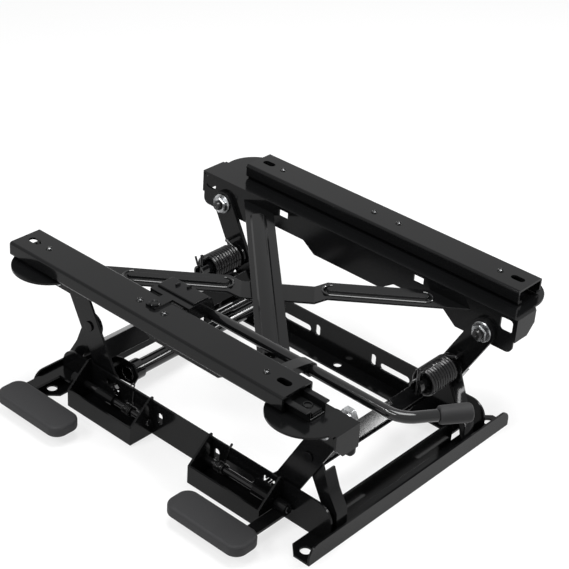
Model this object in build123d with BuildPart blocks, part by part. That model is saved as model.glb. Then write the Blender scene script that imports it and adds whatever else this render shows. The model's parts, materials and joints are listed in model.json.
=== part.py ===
# Seat height adjuster: a pressed-steel frame that stands between the car floor and the seat rails.
# Millimetres. +X is forward (the release handle is at the front), +Y is the left side, +Z is up.
# The origin is on the floor, at the centre of the four floor bolts.
# Right (-Y) is the pedal side. The rest position is the raised one.
from build123d import *
import math
import os

os.makedirs("parts", exist_ok=True)

# Sheet and general clearances
SHEET = 2.5
RUN_CLEAR = 0.05
BODY_GAP = 0.3

# Floor bolts
BOLT_X = 194.3
BOLT_Y = 159.0
BOLT_HOLE_R = 6.0

# Base tray: two side webs on two cross members
WEB_OUT_Y = 133.6
WEB_TOP = 44.2
WEB_HALF_X = 204.0
WEB_END_R = 20.0
FLANGE_IN_Y = 109.0
MEMBER_OUT_X = 211.0
MEMBER_IN_X = 185.5
MEMBER_LIP = 21.8
MEMBER_RIB = 32.8
MEMBER_HALF_Y = 172.9
FOOT_IN_X = 178.0
FOOT_CORNER = 12.0
LIP_CORNER_R = 14.0
FLOOR_HOLE_R = 5.0
KEYHOLE_X = 43.4
KEYHOLE_Z = 25.8
KEYHOLE_H = 15.0
KEYHOLE_W = 7.5
LONG_SLOT_X0 = 54.0
LONG_SLOT_X1 = 98.0
LONG_SLOT_Z = 22.5
LONG_SLOT_H = 9.0
TUBE_X = 130.0
TUBE_Z = 27.8
TUBE_R = 9.0
TUBE_WALL = 1.8
COLLAR_R = 12.0
COLLAR_L = 14.0
COLLAR_Y = 97.0

# Pivots of the four cranks, as the front left one; the linkage stands nearer to the right-hand rail
LOW_X = 164.0
LOW_Z = 88.0
TOP_X = 194.7
TOP_Z = 145.0
DROP = 28.0

# Uprights: one leaning leg with a flange along its outer edge
UPRIGHT_R = 15.0
UPRIGHT_LEFT_Y = 111.5
UPRIGHT_RIGHT_Y = 124.2
UPRIGHT_FLANGE = 14.0
LEG_IN_TOP = (150.5, 82.0)
LEG_IN_KNEE = (166.0, 64.5)
LEG_IN_LOW = (183.0, 33.0)
LEG_IN_FOOT = (190.0, SHEET)
LEG_OUT_FOOT = (205.0, SHEET)
LEG_OUT_LOW = (203.0, 34.0)
LEG_OUT_KNEE = (191.0, 54.0)
LEG_FLANGE_TOP = (182.5, 75.6)
LEG_OUT_TOP = (178.8, 85.0)

# Cranks
ARM_W = 31.0
ARM_LEFT_T = 5.0
ARM_LEFT_Y = 119.7
ARM_GROOVE = 2.6
ARM_RIGHT_T = 3.0
ARM_RIGHT_Y = 128.8
TAIL_L = 44.0
TAIL_FLANGE = 9.0
TAIL_FLANGE_T = 3.0
CHANNEL_R = 32.0
CHANNEL_H = 22.0
CHANNEL_D = 18.0
CHANNEL_T = 2.0

# Toothed sector on each right-hand crank, and the comb that locks it
SECTOR_IN_R = 60.0
SECTOR_OUT_R = 80.0
SECTOR_A0 = 10.0
SECTOR_A1 = 44.0
COMB_A = 36.0
COMB_R = 75.0
TOOTH_PITCH = 4.6
TOOTH_GAP_W = 4.0
TOOTH_GAP_D = 10.0
COMB_TEETH = 3
COMB_TOOTH_W = 3.2
COMB_TOOTH_D = 5.0
COMB_CLEAR = 0.4
COMB_WINDOW_W = 21.0
COMB_WINDOW_H = 20.0

# Pivot hardware
PIN_R = 6.0
PIN_HEAD_R = 9.5
PIN_HEAD_H = 1.7
PIN_HEAD_GAP = 0.3
PIN_IN_Y = 117.0
CLIP_R = 8.5
CLIP_T = 1.6
MANDREL_R = 8.5
MANDREL_BORE_R = 6.0
MANDREL_IN_Y = 46.0
MANDREL_PROUD = 2.0
MANDREL_SLOT = 4.6
MANDREL_SLOT_L = 12.0
SPACER_R = 11.5
TOP_BOLT_R = 5.0
TOP_BOLT_TIP_Y = 117.4
TOP_BOLT_END_Y = 104.5
SLEEVE_R = 9.0
TOP_HEAD_R = 8.5
TOP_HEAD_H = 5.0
NUT_AF = 17.0
NUT_H = 8.5
STUD_PROUD = 1.5
WASHER_R = 12.5
WASHER_T = 2.2

# Lift springs on the left-hand mandrels
SPRING_R = 14.4
SPRING_WIRE_R = 2.0
SPRING_TURNS = 10
SPRING_PITCH = 4.3
SPRING_Y0 = 60.0
SPRING_TANG_R = 21.0
SPRING_LEG_Y = 50.0
SPRING_LEG_TOP = 22.0
SPRING_LEG_LOW = 10.0
ANCHOR_R = 4.0
ANCHOR_X = 133.0
ANCHOR_Z = 42.0
ANCHOR_IN_Y = 48.0

# Lock boxes, pedals and pawls
BOX_L = 103.0
BOX_FRONT_X = 34.0
BOX_REAR_X = -157.0
BOX_OUT_Y = 168.0
BOX_FLOOR = 1.5
BOX_LIP = 24.0
BOX_TOP = 50.0
BOX_SLOT_L = 53.0
BOX_SLOT_W = 9.0
BOX_SLOT_Y = 155.0
BOX_SLOT_X = 54.0
PEDAL_PIN_Y = 142.0
PEDAL_PIN_Z = 21.0
PEDAL_PIN_R = 4.0
HUB_R = 6.8
PAWL_T = 3.0
PAWL_TOP = 38.0
PAWL_HALF_X = 13.0
PAD_T = 13.0
PAD_TOP = 27.8
PAD_R = 14.0
PAD_EDGE_R = 4.0
PAD_Y0 = 194.0
PAD_Y1 = 232.5
PAD_L = 106.0
PAD_FRONT_X = 61.0
PAD_REAR_X = -208.0
PEDAL_ARM_W = 15.0
PEDAL_ARM_T = 3.0
PEDAL_ARM_GAP = 1.5
PEDAL_ELBOW_X = -206.0
PAD_MARGIN = 9.0
PEDAL_SPRING_R = 5.6
PEDAL_SPRING_WIRE_R = 0.9
PEDAL_SPRING_TURNS = 6
PEDAL_SPRING_X = 18.0

# Upper frame
FRAME_TOP = 174.0
FRAME_LEFT_Y = 120.0
FRAME_RIGHT_Y = 142.0
FRAME_END_X = 231.0
FRAME_TRAY_W = 38.0
FRAME_CORNER_R = 8.0
EAR_X = 186.5
EAR_R = 41.5
FRAME_MID_Z = 133.0
RECESS_X0 = 68.0
RECESS_X1 = 138.0
RECESS_SLOPE = 18.0
FRAME_RECESS_Z = 145.3
FRAME_EAR_Z = 130.8
FRAME_END_Z = 148.5
END_FLANGE_W = 35.0
END_FLANGE_Z = 146.0
END_FLANGE_CUT = 12.0
SQUARE_WINDOW = 16.0
SQUARE_WINDOW_X = 220.0
SQUARE_WINDOW_Z = 162.5
SMALL_WINDOW_X = 101.0
SMALL_WINDOW_Z = 166.0
SMALL_WINDOW_L = 14.0
SMALL_WINDOW_H = 9.0

# Diagonal braces
BRACE_W = 34.0
BRACE_Z = 158.5
BRACE_BEAD_R = 5.5
BRACE_BEAD_H = 2.6
LONG_X0 = -146.0
LONG_X1 = 146.0
CROSS_X0 = -140.0
CROSS_X1 = 105.0
JOGGLE = 6.5
JOGGLE_RUN = 14.0

# Slide rails
RAIL_Y = 165.8
RAIL_L = 400.0
RAIL_W = 44.0
RAIL_TOP = 192.8
RAIL_H = 16.8
RAIL_R = 3.0
RAIL_LIP = 5.5
RAIL_RIGHT_X = -26.6
RAIL_LEFT_X = 15.8
RAIL_SLOT_X = 183.0
RAIL_SLOT_L = 17.0
RAIL_SLOT_W = 9.0
RIVET_X = (-160.0, -18.0, 18.0, 160.0)
RIVET_R = 3.6
RIVET_H = 1.4
LOWER_L = 390.0
LOWER_X = 5.0
LOWER_HALF = 12.0
LOWER_LIP = 17.0
LOWER_T = 2.2
LOWER_TOP = 186.5
ROLLER_CLEAR = 0.1
ROLLER_W = 14.0
ROLLER_X = (-120.0, 120.0)

# Latch and handle, carried by the right-hand upper rail
HANDLE_Y = 108.0
HANDLE_Z = 172.8
HANDLE_R = 6.0
HANDLE_REAR_X = -60.0
HANDLE_BEND_X = 255.0
HANDLE_BEND_R = 30.0
GRIP_DX = 26.0
GRIP_DY = 38.0
GRIP_R = 11.5
GRIP_L = 40.0
GRIP_TIP_Y = 50.0
COVER_X0 = -52.0
COVER_X1 = 5.0
COVER_Y = 100.0
COVER_EAR_Y = 119.0
TAB_X0 = -33.0
TAB_X1 = -19.0
TAB_Y = 168.5
LATCH_TEETH = 3
LATCH_PITCH = 8.0
LATCH_TOOTH = 4.0
LATCH_X = -23.0
LATCH_Z = 186.2
LATCH_T = 2.5
CLIP_X = 136.0
CLIP_W = 14.0
LATCH_SPRING_R = 7.6
LATCH_SPRING_WIRE_R = 0.9
LATCH_SPRING_TURNS = 5

# Values that follow from the sizes above
WEB_IN_Y = WEB_OUT_Y - SHEET
ARM_LEFT_IN_Y = ARM_LEFT_Y - ARM_LEFT_T
ARM_RIGHT_IN_Y = ARM_RIGHT_Y - ARM_RIGHT_T
CRANK_R = math.hypot(TOP_X - LOW_X, TOP_Z - LOW_Z)
CRANK_A = math.degrees(math.atan2(TOP_X - LOW_X, TOP_Z - LOW_Z))
LOWERED_R = math.hypot(TOP_X - LOW_X, TOP_Z - LOW_Z - DROP)
ARM_SLOT_W = 2 * TOP_BOLT_R + 3.6
ARM_SLOT_SHIFT = 0.9
RAIL_BOTTOM = RAIL_TOP - RAIL_H
BRACE_END_Y = FRAME_LEFT_Y
FRAME_LEFT_OUT_Y = FRAME_LEFT_Y + SHEET
FRAME_RIGHT_OUT_Y = FRAME_RIGHT_Y + SHEET


def keep(piece, name):
    """Label a finished piece and write its file."""
    piece.part.label = name
    export_step(piece.part, f"parts/{name}.step")


def side_plane(y):
    """Plane across the object at y: sketch x is X and sketch y is Z."""
    return Plane(origin=(0, y, 0), x_dir=(1, 0, 0), z_dir=(0, -1, 0))


def sheet_along_y(y0, y1):
    """Plane and depth that fill y0 to y1, for a sketch drawn in X and Z."""
    return side_plane(y0), -(y1 - y0)


def crank_plane(y):
    """Plane across the crank at its lower pivot: sketch x runs up the arm."""
    a = math.radians(CRANK_A)
    return Plane(origin=(LOW_X, y, LOW_Z), x_dir=(math.sin(a), 0, math.cos(a)), z_dir=(0, -1, 0))


def cylinder_y(x, z, y0, y1, r):
    """Round bar along Y inside the current part."""
    with BuildSketch(side_plane(y0)) as disc:
        with Locations((x, z)):
            Circle(r)
    extrude(disc.sketch, amount=-(y1 - y0))


def cylinder_x(x0, x1, y, z, r):
    """Round bar along X inside the current part."""
    with BuildSketch(Plane.YZ.offset(x0)) as disc:
        with Locations((y, z)):
            Circle(r)
    extrude(disc.sketch, amount=x1 - x0)


def rod(start, finish, r):
    """Round bar between two points inside the current part."""
    run = Vector(*finish) - Vector(*start)
    with BuildSketch(Plane(origin=start, z_dir=run)) as disc:
        Circle(r)
    extrude(disc.sketch, amount=run.length)


# Base cross member at the front, with the two floor feet; the rear one is its mirror image
with BuildPart() as base_front:
    with BuildSketch(Plane.XY):
        with BuildLine():
            Polyline(
                (MEMBER_IN_X, -WEB_IN_Y),
                (FOOT_IN_X, -WEB_IN_Y),
                (FOOT_IN_X, -MEMBER_HALF_Y + FOOT_CORNER),
                (FOOT_IN_X + FOOT_CORNER, -MEMBER_HALF_Y),
                (MEMBER_OUT_X, -MEMBER_HALF_Y),
                (MEMBER_OUT_X, MEMBER_HALF_Y),
                (FOOT_IN_X + FOOT_CORNER, MEMBER_HALF_Y),
                (FOOT_IN_X, MEMBER_HALF_Y - FOOT_CORNER),
                (FOOT_IN_X, WEB_IN_Y),
                (MEMBER_IN_X, WEB_IN_Y),
                close=True,
            )
        make_face()
        with Locations((BOLT_X, -BOLT_Y), (BOLT_X, BOLT_Y)):
            Circle(BOLT_HOLE_R, mode=Mode.SUBTRACT)
    extrude(amount=SHEET)
    with BuildSketch(Plane.YZ.offset(MEMBER_OUT_X - SHEET)) as lip:
        with BuildLine():
            Polyline(
                (-MEMBER_HALF_Y, 0),
                (MEMBER_HALF_Y, 0),
                (MEMBER_HALF_Y, MEMBER_LIP),
                (-MEMBER_HALF_Y, MEMBER_LIP),
                close=True,
            )
        make_face()
        fillet(lip.vertices().group_by(Axis.Y)[-1], LIP_CORNER_R)
    extrude(amount=SHEET)
    with BuildSketch(Plane.YZ.offset(MEMBER_IN_X)):
        with Locations((0, MEMBER_RIB / 2)):
            Rectangle(2 * (UPRIGHT_LEFT_Y - SHEET - UPRIGHT_FLANGE - BODY_GAP), MEMBER_RIB)
    extrude(amount=SHEET)
    with BuildSketch(Plane.XY):
        with GridLocations(0, 2 * 74.0, 1, 2):
            with Locations((MEMBER_IN_X + 12.5, 0)):
                SlotOverall(60, 5, rotation=90)
    extrude(amount=SHEET, mode=Mode.SUBTRACT)
keep(base_front, "base_front")

with BuildPart() as base_rear:
    mirror(base_front.part, about=Plane.YZ)
keep(base_rear, "base_rear")

# Side web of the base with its floor flange
web_plane, web_depth = sheet_along_y(WEB_IN_Y, WEB_OUT_Y)
with BuildPart() as base_side_left:
    with BuildSketch(web_plane) as web:
        with Locations((0, (SHEET + WEB_TOP) / 2)):
            Rectangle(2 * WEB_HALF_X, WEB_TOP - SHEET)
        fillet(web.vertices().group_by(Axis.Y)[-1], WEB_END_R)
        for end in (-1, 1):
            with Locations((end * KEYHOLE_X, KEYHOLE_Z)):
                SlotOverall(KEYHOLE_H, KEYHOLE_W, rotation=90, mode=Mode.SUBTRACT)
            with Locations((end * (LONG_SLOT_X0 + LONG_SLOT_X1) / 2, LONG_SLOT_Z)):
                SlotOverall(LONG_SLOT_X1 - LONG_SLOT_X0, LONG_SLOT_H, mode=Mode.SUBTRACT)
    extrude(amount=web_depth)
    with BuildSketch(Plane.XY):
        with Locations((0, (FLANGE_IN_Y + WEB_OUT_Y) / 2)):
            Rectangle(2 * FOOT_IN_X, WEB_OUT_Y - FLANGE_IN_Y)
        with Locations((0, (FLANGE_IN_Y + WEB_IN_Y) / 2)):
            Circle(FLOOR_HOLE_R, mode=Mode.SUBTRACT)
    extrude(amount=SHEET)
keep(base_side_left, "base_side_left")

# The right-hand web has a window where each comb reaches its toothed sector
COMB_X = LOW_X - COMB_R * math.sin(math.radians(COMB_A))
COMB_Z = LOW_Z - COMB_R * math.cos(math.radians(COMB_A))
with BuildPart() as base_side_right:
    mirror(base_side_left.part, about=Plane.XZ)
    with BuildSketch(side_plane(-WEB_OUT_Y)):
        with Locations((-COMB_X, COMB_Z), (COMB_X, COMB_Z)):
            RectangleRounded(COMB_WINDOW_W, COMB_WINDOW_H, 3)
    extrude(amount=-SHEET, mode=Mode.SUBTRACT)
keep(base_side_right, "base_side_right")

# Upright: a leaning leg with a flange along its outer edge, standing on the base
def upright(out_y, hole_r):
    """Front left upright whose outer face is at out_y, with the given pivot hole."""
    plane, depth = sheet_along_y(out_y - SHEET, out_y)
    flange_plane, flange_depth = sheet_along_y(out_y - SHEET - UPRIGHT_FLANGE, out_y)
    with BuildPart() as piece:
        with BuildSketch(plane):
            with BuildLine():
                Polyline(
                    LEG_IN_TOP,
                    LEG_IN_KNEE,
                    LEG_IN_LOW,
                    LEG_IN_FOOT,
                    LEG_OUT_FOOT,
                    LEG_OUT_LOW,
                    LEG_OUT_KNEE,
                    LEG_OUT_TOP,
                    close=True,
                )
            make_face()
            with Locations((LOW_X, LOW_Z)):
                Circle(UPRIGHT_R)
                Circle(hole_r, mode=Mode.SUBTRACT)
        extrude(amount=depth)
        with BuildSketch(flange_plane):
            with BuildLine():
                bend = Polyline(LEG_OUT_FOOT, LEG_OUT_LOW, LEG_OUT_KNEE, LEG_FLANGE_TOP)
                offset(bend, amount=SHEET, side=Side.LEFT)
            make_face()
        extrude(amount=flange_depth)
    return piece


upright_front_left = upright(UPRIGHT_LEFT_Y, MANDREL_R)
keep(upright_front_left, "upright_front_left")
with BuildPart() as upright_rear_left:
    mirror(upright_front_left.part, about=Plane.YZ)
keep(upright_rear_left, "upright_rear_left")
upright_pinned = upright(UPRIGHT_RIGHT_Y, PIN_R)
with BuildPart() as upright_front_right:
    mirror(upright_pinned.part, about=Plane.XZ)
keep(upright_front_right, "upright_front_right")
with BuildPart() as upright_rear_right:
    mirror(upright_front_right.part, about=Plane.YZ)
keep(upright_rear_right, "upright_rear_right")

# Rear cross tube from the left web to a bracket beside the right-hand sector
TUBE_END_Y = COLLAR_Y + SHEET + 2
with BuildPart() as rear_cross_tube:
    cylinder_y(-TUBE_X, TUBE_Z, -TUBE_END_Y, WEB_IN_Y, TUBE_R)
    cylinder_y(-TUBE_X, TUBE_Z, -COLLAR_Y, -COLLAR_Y + COLLAR_L, COLLAR_R)
    with BuildSketch(side_plane(-TUBE_END_Y)):
        with Locations((-TUBE_X, TUBE_Z)):
            Circle(TUBE_R - TUBE_WALL)
    extrude(amount=-(TUBE_END_Y + WEB_IN_Y), mode=Mode.SUBTRACT)
keep(rear_cross_tube, "rear_cross_tube")

with BuildPart() as tube_bracket:
    with BuildSketch(side_plane(-COLLAR_Y - SHEET)):
        with BuildLine():
            Polyline(
                (-MEMBER_IN_X, SHEET),
                (-MEMBER_IN_X, MEMBER_RIB),
                (-TUBE_X - 14, TUBE_Z + 14),
                (-TUBE_X + 8, TUBE_Z + 14),
                (-TUBE_X + 15, TUBE_Z),
                (-TUBE_X + 8, TUBE_Z - 14),
                (-TUBE_X - 14, TUBE_Z - 16),
                (-MEMBER_IN_X + 18, SHEET),
                close=True,
            )
        make_face()
        with Locations((-TUBE_X, TUBE_Z)):
            Circle(TUBE_R, mode=Mode.SUBTRACT)
    extrude(amount=-SHEET)
keep(tube_bracket, "tube_bracket")


# Lock boxes on the right-hand web
def lock_box(x0):
    """Open box of sheet with sloped ends, welded to the outside of the web."""
    with BuildPart() as piece:
        with BuildSketch(Plane.XY.offset(BOX_FLOOR)):
            with Locations((x0 + BOX_L / 2, -(WEB_OUT_Y + BOX_OUT_Y) / 2)):
                Rectangle(BOX_L, BOX_OUT_Y - WEB_OUT_Y)
            with Locations((x0 + BOX_SLOT_X, -BOX_SLOT_Y)):
                SlotOverall(BOX_SLOT_L, BOX_SLOT_W, mode=Mode.SUBTRACT)
        extrude(amount=SHEET)
        with BuildSketch(side_plane(-BOX_OUT_Y)):
            with Locations((x0 + BOX_L / 2, (BOX_FLOOR + BOX_LIP) / 2)):
                Rectangle(BOX_L, BOX_LIP - BOX_FLOOR)
        extrude(amount=-SHEET)
        with BuildSketch(Plane.YZ.offset(x0), Plane.YZ.offset(x0 + BOX_L - SHEET)):
            with BuildLine():
                Polyline(
                    (-BOX_OUT_Y, BOX_FLOOR),
                    (-WEB_OUT_Y, BOX_FLOOR),
                    (-WEB_OUT_Y, BOX_TOP),
                    (-WEB_OUT_Y - 5, BOX_TOP),
                    (-BOX_OUT_Y, BOX_LIP),
                    close=True,
                )
            make_face()
            with Locations((-PEDAL_PIN_Y, PEDAL_PIN_Z)):
                Circle(PEDAL_PIN_R + RUN_CLEAR, mode=Mode.SUBTRACT)
        extrude(amount=SHEET)
    return piece


lock_box_front = lock_box(BOX_FRONT_X)
keep(lock_box_front, "lock_box_front")
lock_box_rear = lock_box(BOX_REAR_X)
keep(lock_box_rear, "lock_box_rear")


# Pedal pins, arms and pads: the front arm is ahead of its box, the rear one behind it
def pedal_pin(x0, x1):
    """Round pin that turns in the two ends of the lock box."""
    with BuildPart() as piece:
        cylinder_x(x0, x1, -PEDAL_PIN_Y, PEDAL_PIN_Z, PEDAL_PIN_R)
        chamfer(piece.edges().filter_by(GeomType.CIRCLE), 0.6)
    return piece


def pedal_arm(hub_x0, arm_x0, pad_x0):
    """Steel arm: a hub round the pin, a strip out to the pad and a tongue inside the pad."""
    arm_bottom = PEDAL_PIN_Z - HUB_R
    reach = PAD_Y1 - PAD_MARGIN - PEDAL_PIN_Y
    with BuildPart() as piece:
        cylinder_x(hub_x0, hub_x0 + PEDAL_ARM_W, -PEDAL_PIN_Y, PEDAL_PIN_Z, HUB_R)
        with BuildSketch(Plane.XY.offset(arm_bottom)):
            with Locations((arm_x0 + PEDAL_ARM_W / 2, -PEDAL_PIN_Y - reach / 2)):
                Rectangle(PEDAL_ARM_W, reach)
            with Locations(((arm_x0 + hub_x0 + PEDAL_ARM_W) / 2, -PEDAL_PIN_Y)):
                RectangleRounded(hub_x0 - arm_x0 + PEDAL_ARM_W, PEDAL_ARM_W, 3)
            with Locations((pad_x0 + PAD_L / 2, -(PAD_Y0 + PAD_Y1) / 2)):
                RectangleRounded(PAD_L - 2 * PAD_MARGIN, PAD_Y1 - PAD_Y0 - 2 * PAD_MARGIN, 4)
        extrude(amount=PEDAL_ARM_T)
        with BuildSketch(Plane.YZ.offset(hub_x0 - 1)):
            with Locations((-PEDAL_PIN_Y, PEDAL_PIN_Z)):
                Circle(PEDAL_PIN_R)
        extrude(amount=PEDAL_ARM_W + 2, mode=Mode.SUBTRACT)
    return piece


def pedal_pad(pad_x0, arm):
    """Moulded pad with soft edges, and the recess that its arm fills."""
    with BuildPart() as piece:
        with BuildSketch(Plane.XY.offset(PAD_TOP - PAD_T)):
            with Locations((pad_x0 + PAD_L / 2, -(PAD_Y0 + PAD_Y1) / 2)):
                RectangleRounded(PAD_L, PAD_Y1 - PAD_Y0, PAD_R)
        extrude(amount=PAD_T)
        fillet(piece.faces().sort_by(Axis.Z)[-1].edges(), PAD_EDGE_R)
        fillet(piece.faces().sort_by(Axis.Z)[0].edges(), PAD_EDGE_R / 2)
        add(arm.part, mode=Mode.SUBTRACT)
    return piece


ARM_FRONT_X = BOX_FRONT_X + BOX_L + PEDAL_ARM_GAP
ARM_REAR_X = BOX_REAR_X - PEDAL_ARM_GAP - PEDAL_ARM_W
pedal_pin_front = pedal_pin(BOX_FRONT_X - 3, ARM_FRONT_X + PEDAL_ARM_W + 1)
keep(pedal_pin_front, "pedal_pin_front")
pedal_pin_rear = pedal_pin(ARM_REAR_X - 1, BOX_REAR_X + BOX_L + 3)
keep(pedal_pin_rear, "pedal_pin_rear")
pedal_arm_front = pedal_arm(ARM_FRONT_X, ARM_FRONT_X, PAD_FRONT_X)
keep(pedal_arm_front, "pedal_arm_front")
pedal_arm_rear = pedal_arm(ARM_REAR_X, PEDAL_ELBOW_X, PAD_REAR_X)
keep(pedal_arm_rear, "pedal_arm_rear")
pedal_pad_front = pedal_pad(PAD_FRONT_X, pedal_arm_front)
keep(pedal_pad_front, "pedal_pad_front")
pedal_pad_rear = pedal_pad(PAD_REAR_X, pedal_arm_rear)
keep(pedal_pad_rear, "pedal_pad_rear")

# Pawl: a plate that stands on the pin, with comb teeth that point at the sector
PAWL_FACE_Y = PEDAL_PIN_Y - PAWL_T / 2
with BuildPart() as pawl_front:
    cylinder_x(COMB_X - PAWL_HALF_X, COMB_X + PAWL_HALF_X, -PEDAL_PIN_Y, PEDAL_PIN_Z, HUB_R)
    with BuildSketch(side_plane(-PEDAL_PIN_Y - PAWL_T / 2)) as plate:
        with Locations((COMB_X, (PEDAL_PIN_Z + PAWL_TOP) / 2)):
            Rectangle(2 * PAWL_HALF_X, PAWL_TOP - PEDAL_PIN_Z)
        fillet(plate.vertices().group_by(Axis.Y)[-1], 6)
    extrude(amount=-PAWL_T)
    for tooth in range(COMB_TEETH):
        angle = math.radians(COMB_A + (tooth - (COMB_TEETH - 1) / 2) * TOOTH_PITCH)
        with BuildSketch(side_plane(-PAWL_FACE_Y)):
            with Locations((LOW_X - COMB_R * math.sin(angle), LOW_Z - COMB_R * math.cos(angle))):
                Rectangle(COMB_TOOTH_D, COMB_TOOTH_W, rotation=90 - math.degrees(angle))
        extrude(amount=-(PAWL_FACE_Y - ARM_RIGHT_Y - COMB_CLEAR))
    with BuildSketch(Plane.YZ.offset(COMB_X - PAWL_HALF_X)):
        with Locations((-PEDAL_PIN_Y, PEDAL_PIN_Z)):
            Circle(PEDAL_PIN_R)
    extrude(amount=2 * PAWL_HALF_X, mode=Mode.SUBTRACT)
keep(pawl_front, "pawl_front")
with BuildPart() as pawl_rear:
    mirror(pawl_front.part, about=Plane.YZ)
keep(pawl_rear, "pawl_rear")


# Small coil springs round the pedal pins
def small_coil(start, direction, r, wire_r, turns):
    """Close-wound coil of thin wire along a direction."""
    with BuildPart() as piece:
        with BuildLine() as path:
            Helix(pitch=2.3 * wire_r, height=2.3 * wire_r * turns, radius=r, center=start, direction=direction)
        with BuildSketch(Plane(origin=path.line @ 0, z_dir=path.line % 0)):
            RegularPolygon(wire_r, 6)
        sweep(is_frenet=True)
    return piece


with BuildPart() as pedal_springs:
    for x in (BOX_FRONT_X + PEDAL_SPRING_X, BOX_REAR_X + BOX_L - 2 * PEDAL_SPRING_X):
        place = (x, -PEDAL_PIN_Y, PEDAL_PIN_Z)
        add(small_coil(place, (1, 0, 0), PEDAL_SPRING_R, PEDAL_SPRING_WIRE_R, PEDAL_SPRING_TURNS).part)
keep(pedal_springs, "pedal_springs")

# Lower pivots on the right: headed pins with a retaining ring
with BuildPart() as pivot_pins:
    for end in (-1, 1):
        head_y = -ARM_RIGHT_Y - PIN_HEAD_GAP
        cylinder_y(end * LOW_X, LOW_Z, head_y, -PIN_IN_Y, PIN_R)
        cylinder_y(end * LOW_X, LOW_Z, head_y - PIN_HEAD_H, head_y, PIN_HEAD_R)
        cylinder_y(end * LOW_X, LOW_Z, -PIN_IN_Y - CLIP_T - 1, -PIN_IN_Y - 1, CLIP_R)
keep(pivot_pins, "pivot_pins")


# Lower pivots on the left: slotted tubes that also carry the lift springs
def mandrel(x):
    """Tube through the upright and the crank, past the spring, with a slot for the spring's leg."""
    out_y = ARM_LEFT_Y + MANDREL_PROUD
    with BuildPart() as piece:
        cylinder_y(x, LOW_Z, MANDREL_IN_Y, out_y, MANDREL_R)
        with BuildSketch(side_plane(MANDREL_IN_Y)):
            with Locations((x, LOW_Z)):
                Circle(MANDREL_BORE_R)
        extrude(amount=-(out_y - MANDREL_IN_Y), mode=Mode.SUBTRACT)
        with BuildSketch(side_plane(MANDREL_IN_Y)):
            with Locations((x, LOW_Z)):
                Rectangle(MANDREL_SLOT, 2 * MANDREL_R + 2)
        extrude(amount=-MANDREL_SLOT_L, mode=Mode.SUBTRACT)
    return piece


mandrel_front = mandrel(LOW_X)
keep(mandrel_front, "mandrel_front")
mandrel_rear = mandrel(-LOW_X)
keep(mandrel_rear, "mandrel_rear")

# Spacer tubes between each upright and its crank
with BuildPart() as pivot_spacers:
    for end in (-1, 1):
        for y0, y1, bore in (
            (BODY_GAP - ARM_RIGHT_IN_Y, -UPRIGHT_RIGHT_Y, PIN_R),
            (UPRIGHT_LEFT_Y, ARM_LEFT_IN_Y - BODY_GAP, MANDREL_R),
        ):
            with BuildSketch(side_plane(y0)):
                with Locations((end * LOW_X, LOW_Z)):
                    Circle(SPACER_R)
                    Circle(bore, mode=Mode.SUBTRACT)
            extrude(amount=-(y1 - y0))
keep(pivot_spacers, "pivot_spacers")


# Lift springs: one leg stands through the mandrel's slot, the other passes the upright to the crank arm
SPRING_HOOK = crank_plane(SPRING_Y0).from_local_coords((SPRING_TANG_R, 0))
SPRING_END_Y = SPRING_Y0 + SPRING_PITCH * SPRING_TURNS
SPRING_TOP_Z = LOW_Z + SPRING_R


def lift_spring(end):
    """Torsion spring at the front (1) or the rear (-1)."""
    x = end * LOW_X
    hook_x = end * SPRING_HOOK.X
    with BuildPart() as piece:
        with BuildLine() as path:
            Helix(
                pitch=SPRING_PITCH,
                height=SPRING_PITCH * SPRING_TURNS,
                radius=SPRING_R,
                center=(x, SPRING_Y0, LOW_Z),
                direction=(0, 1, 0),
                lefthand=end < 0,
            )
        with BuildSketch(Plane(origin=path.line @ 0, z_dir=path.line % 0)):
            RegularPolygon(SPRING_WIRE_R, 8)
        sweep(is_frenet=True)
        rod((x, SPRING_LEG_Y, SPRING_TOP_Z), (x, SPRING_Y0, SPRING_TOP_Z), SPRING_WIRE_R)
        rod((x, SPRING_LEG_Y, LOW_Z - SPRING_LEG_LOW), (x, SPRING_LEG_Y, LOW_Z + SPRING_LEG_TOP), SPRING_WIRE_R)
        rod((x, SPRING_END_Y, SPRING_TOP_Z), (hook_x, SPRING_END_Y, SPRING_HOOK.Z), SPRING_WIRE_R)
        with Locations((hook_x, SPRING_END_Y, SPRING_HOOK.Z)):
            Sphere(SPRING_WIRE_R + 0.1)
        rod((hook_x, SPRING_END_Y, SPRING_HOOK.Z), (hook_x, ARM_LEFT_IN_Y - BODY_GAP, SPRING_HOOK.Z), SPRING_WIRE_R)
    return piece


lift_spring_front = lift_spring(1)
keep(lift_spring_front, "lift_spring_front")
lift_spring_rear = lift_spring(-1)
keep(lift_spring_rear, "lift_spring_rear")

# Bright anchor rods that stand inwards from the left-hand web
with BuildPart() as anchor_rods:
    for end in (-1, 1):
        cylinder_y(end * ANCHOR_X, ANCHOR_Z, ANCHOR_IN_Y, WEB_IN_Y, ANCHOR_R)
keep(anchor_rods, "anchor_rods")


# Cranks
def crank_bar(y0, y1, bore, tail):
    """Straight bar with round ends: the arm up to the top pivot and the tail below the lower one."""
    with BuildPart() as piece:
        with BuildSketch(crank_plane(y0)):
            with Locations(((CRANK_R - tail) / 2, 0)):
                SlotCenterToCenter(CRANK_R + tail, ARM_W)
            Circle(bore + RUN_CLEAR, mode=Mode.SUBTRACT)
        extrude(amount=-(y1 - y0))
    return piece


def slot_cut(y0, y1):
    """Slot or groove in which the top bolt moves as the frame goes down."""
    with BuildPart() as piece:
        with BuildSketch(crank_plane(y0)):
            with Locations(((CRANK_R + LOWERED_R) / 2, ARM_SLOT_SHIFT)):
                SlotCenterToCenter(CRANK_R - LOWERED_R, ARM_SLOT_W)
        extrude(amount=-(y1 - y0))
    return piece


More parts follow.
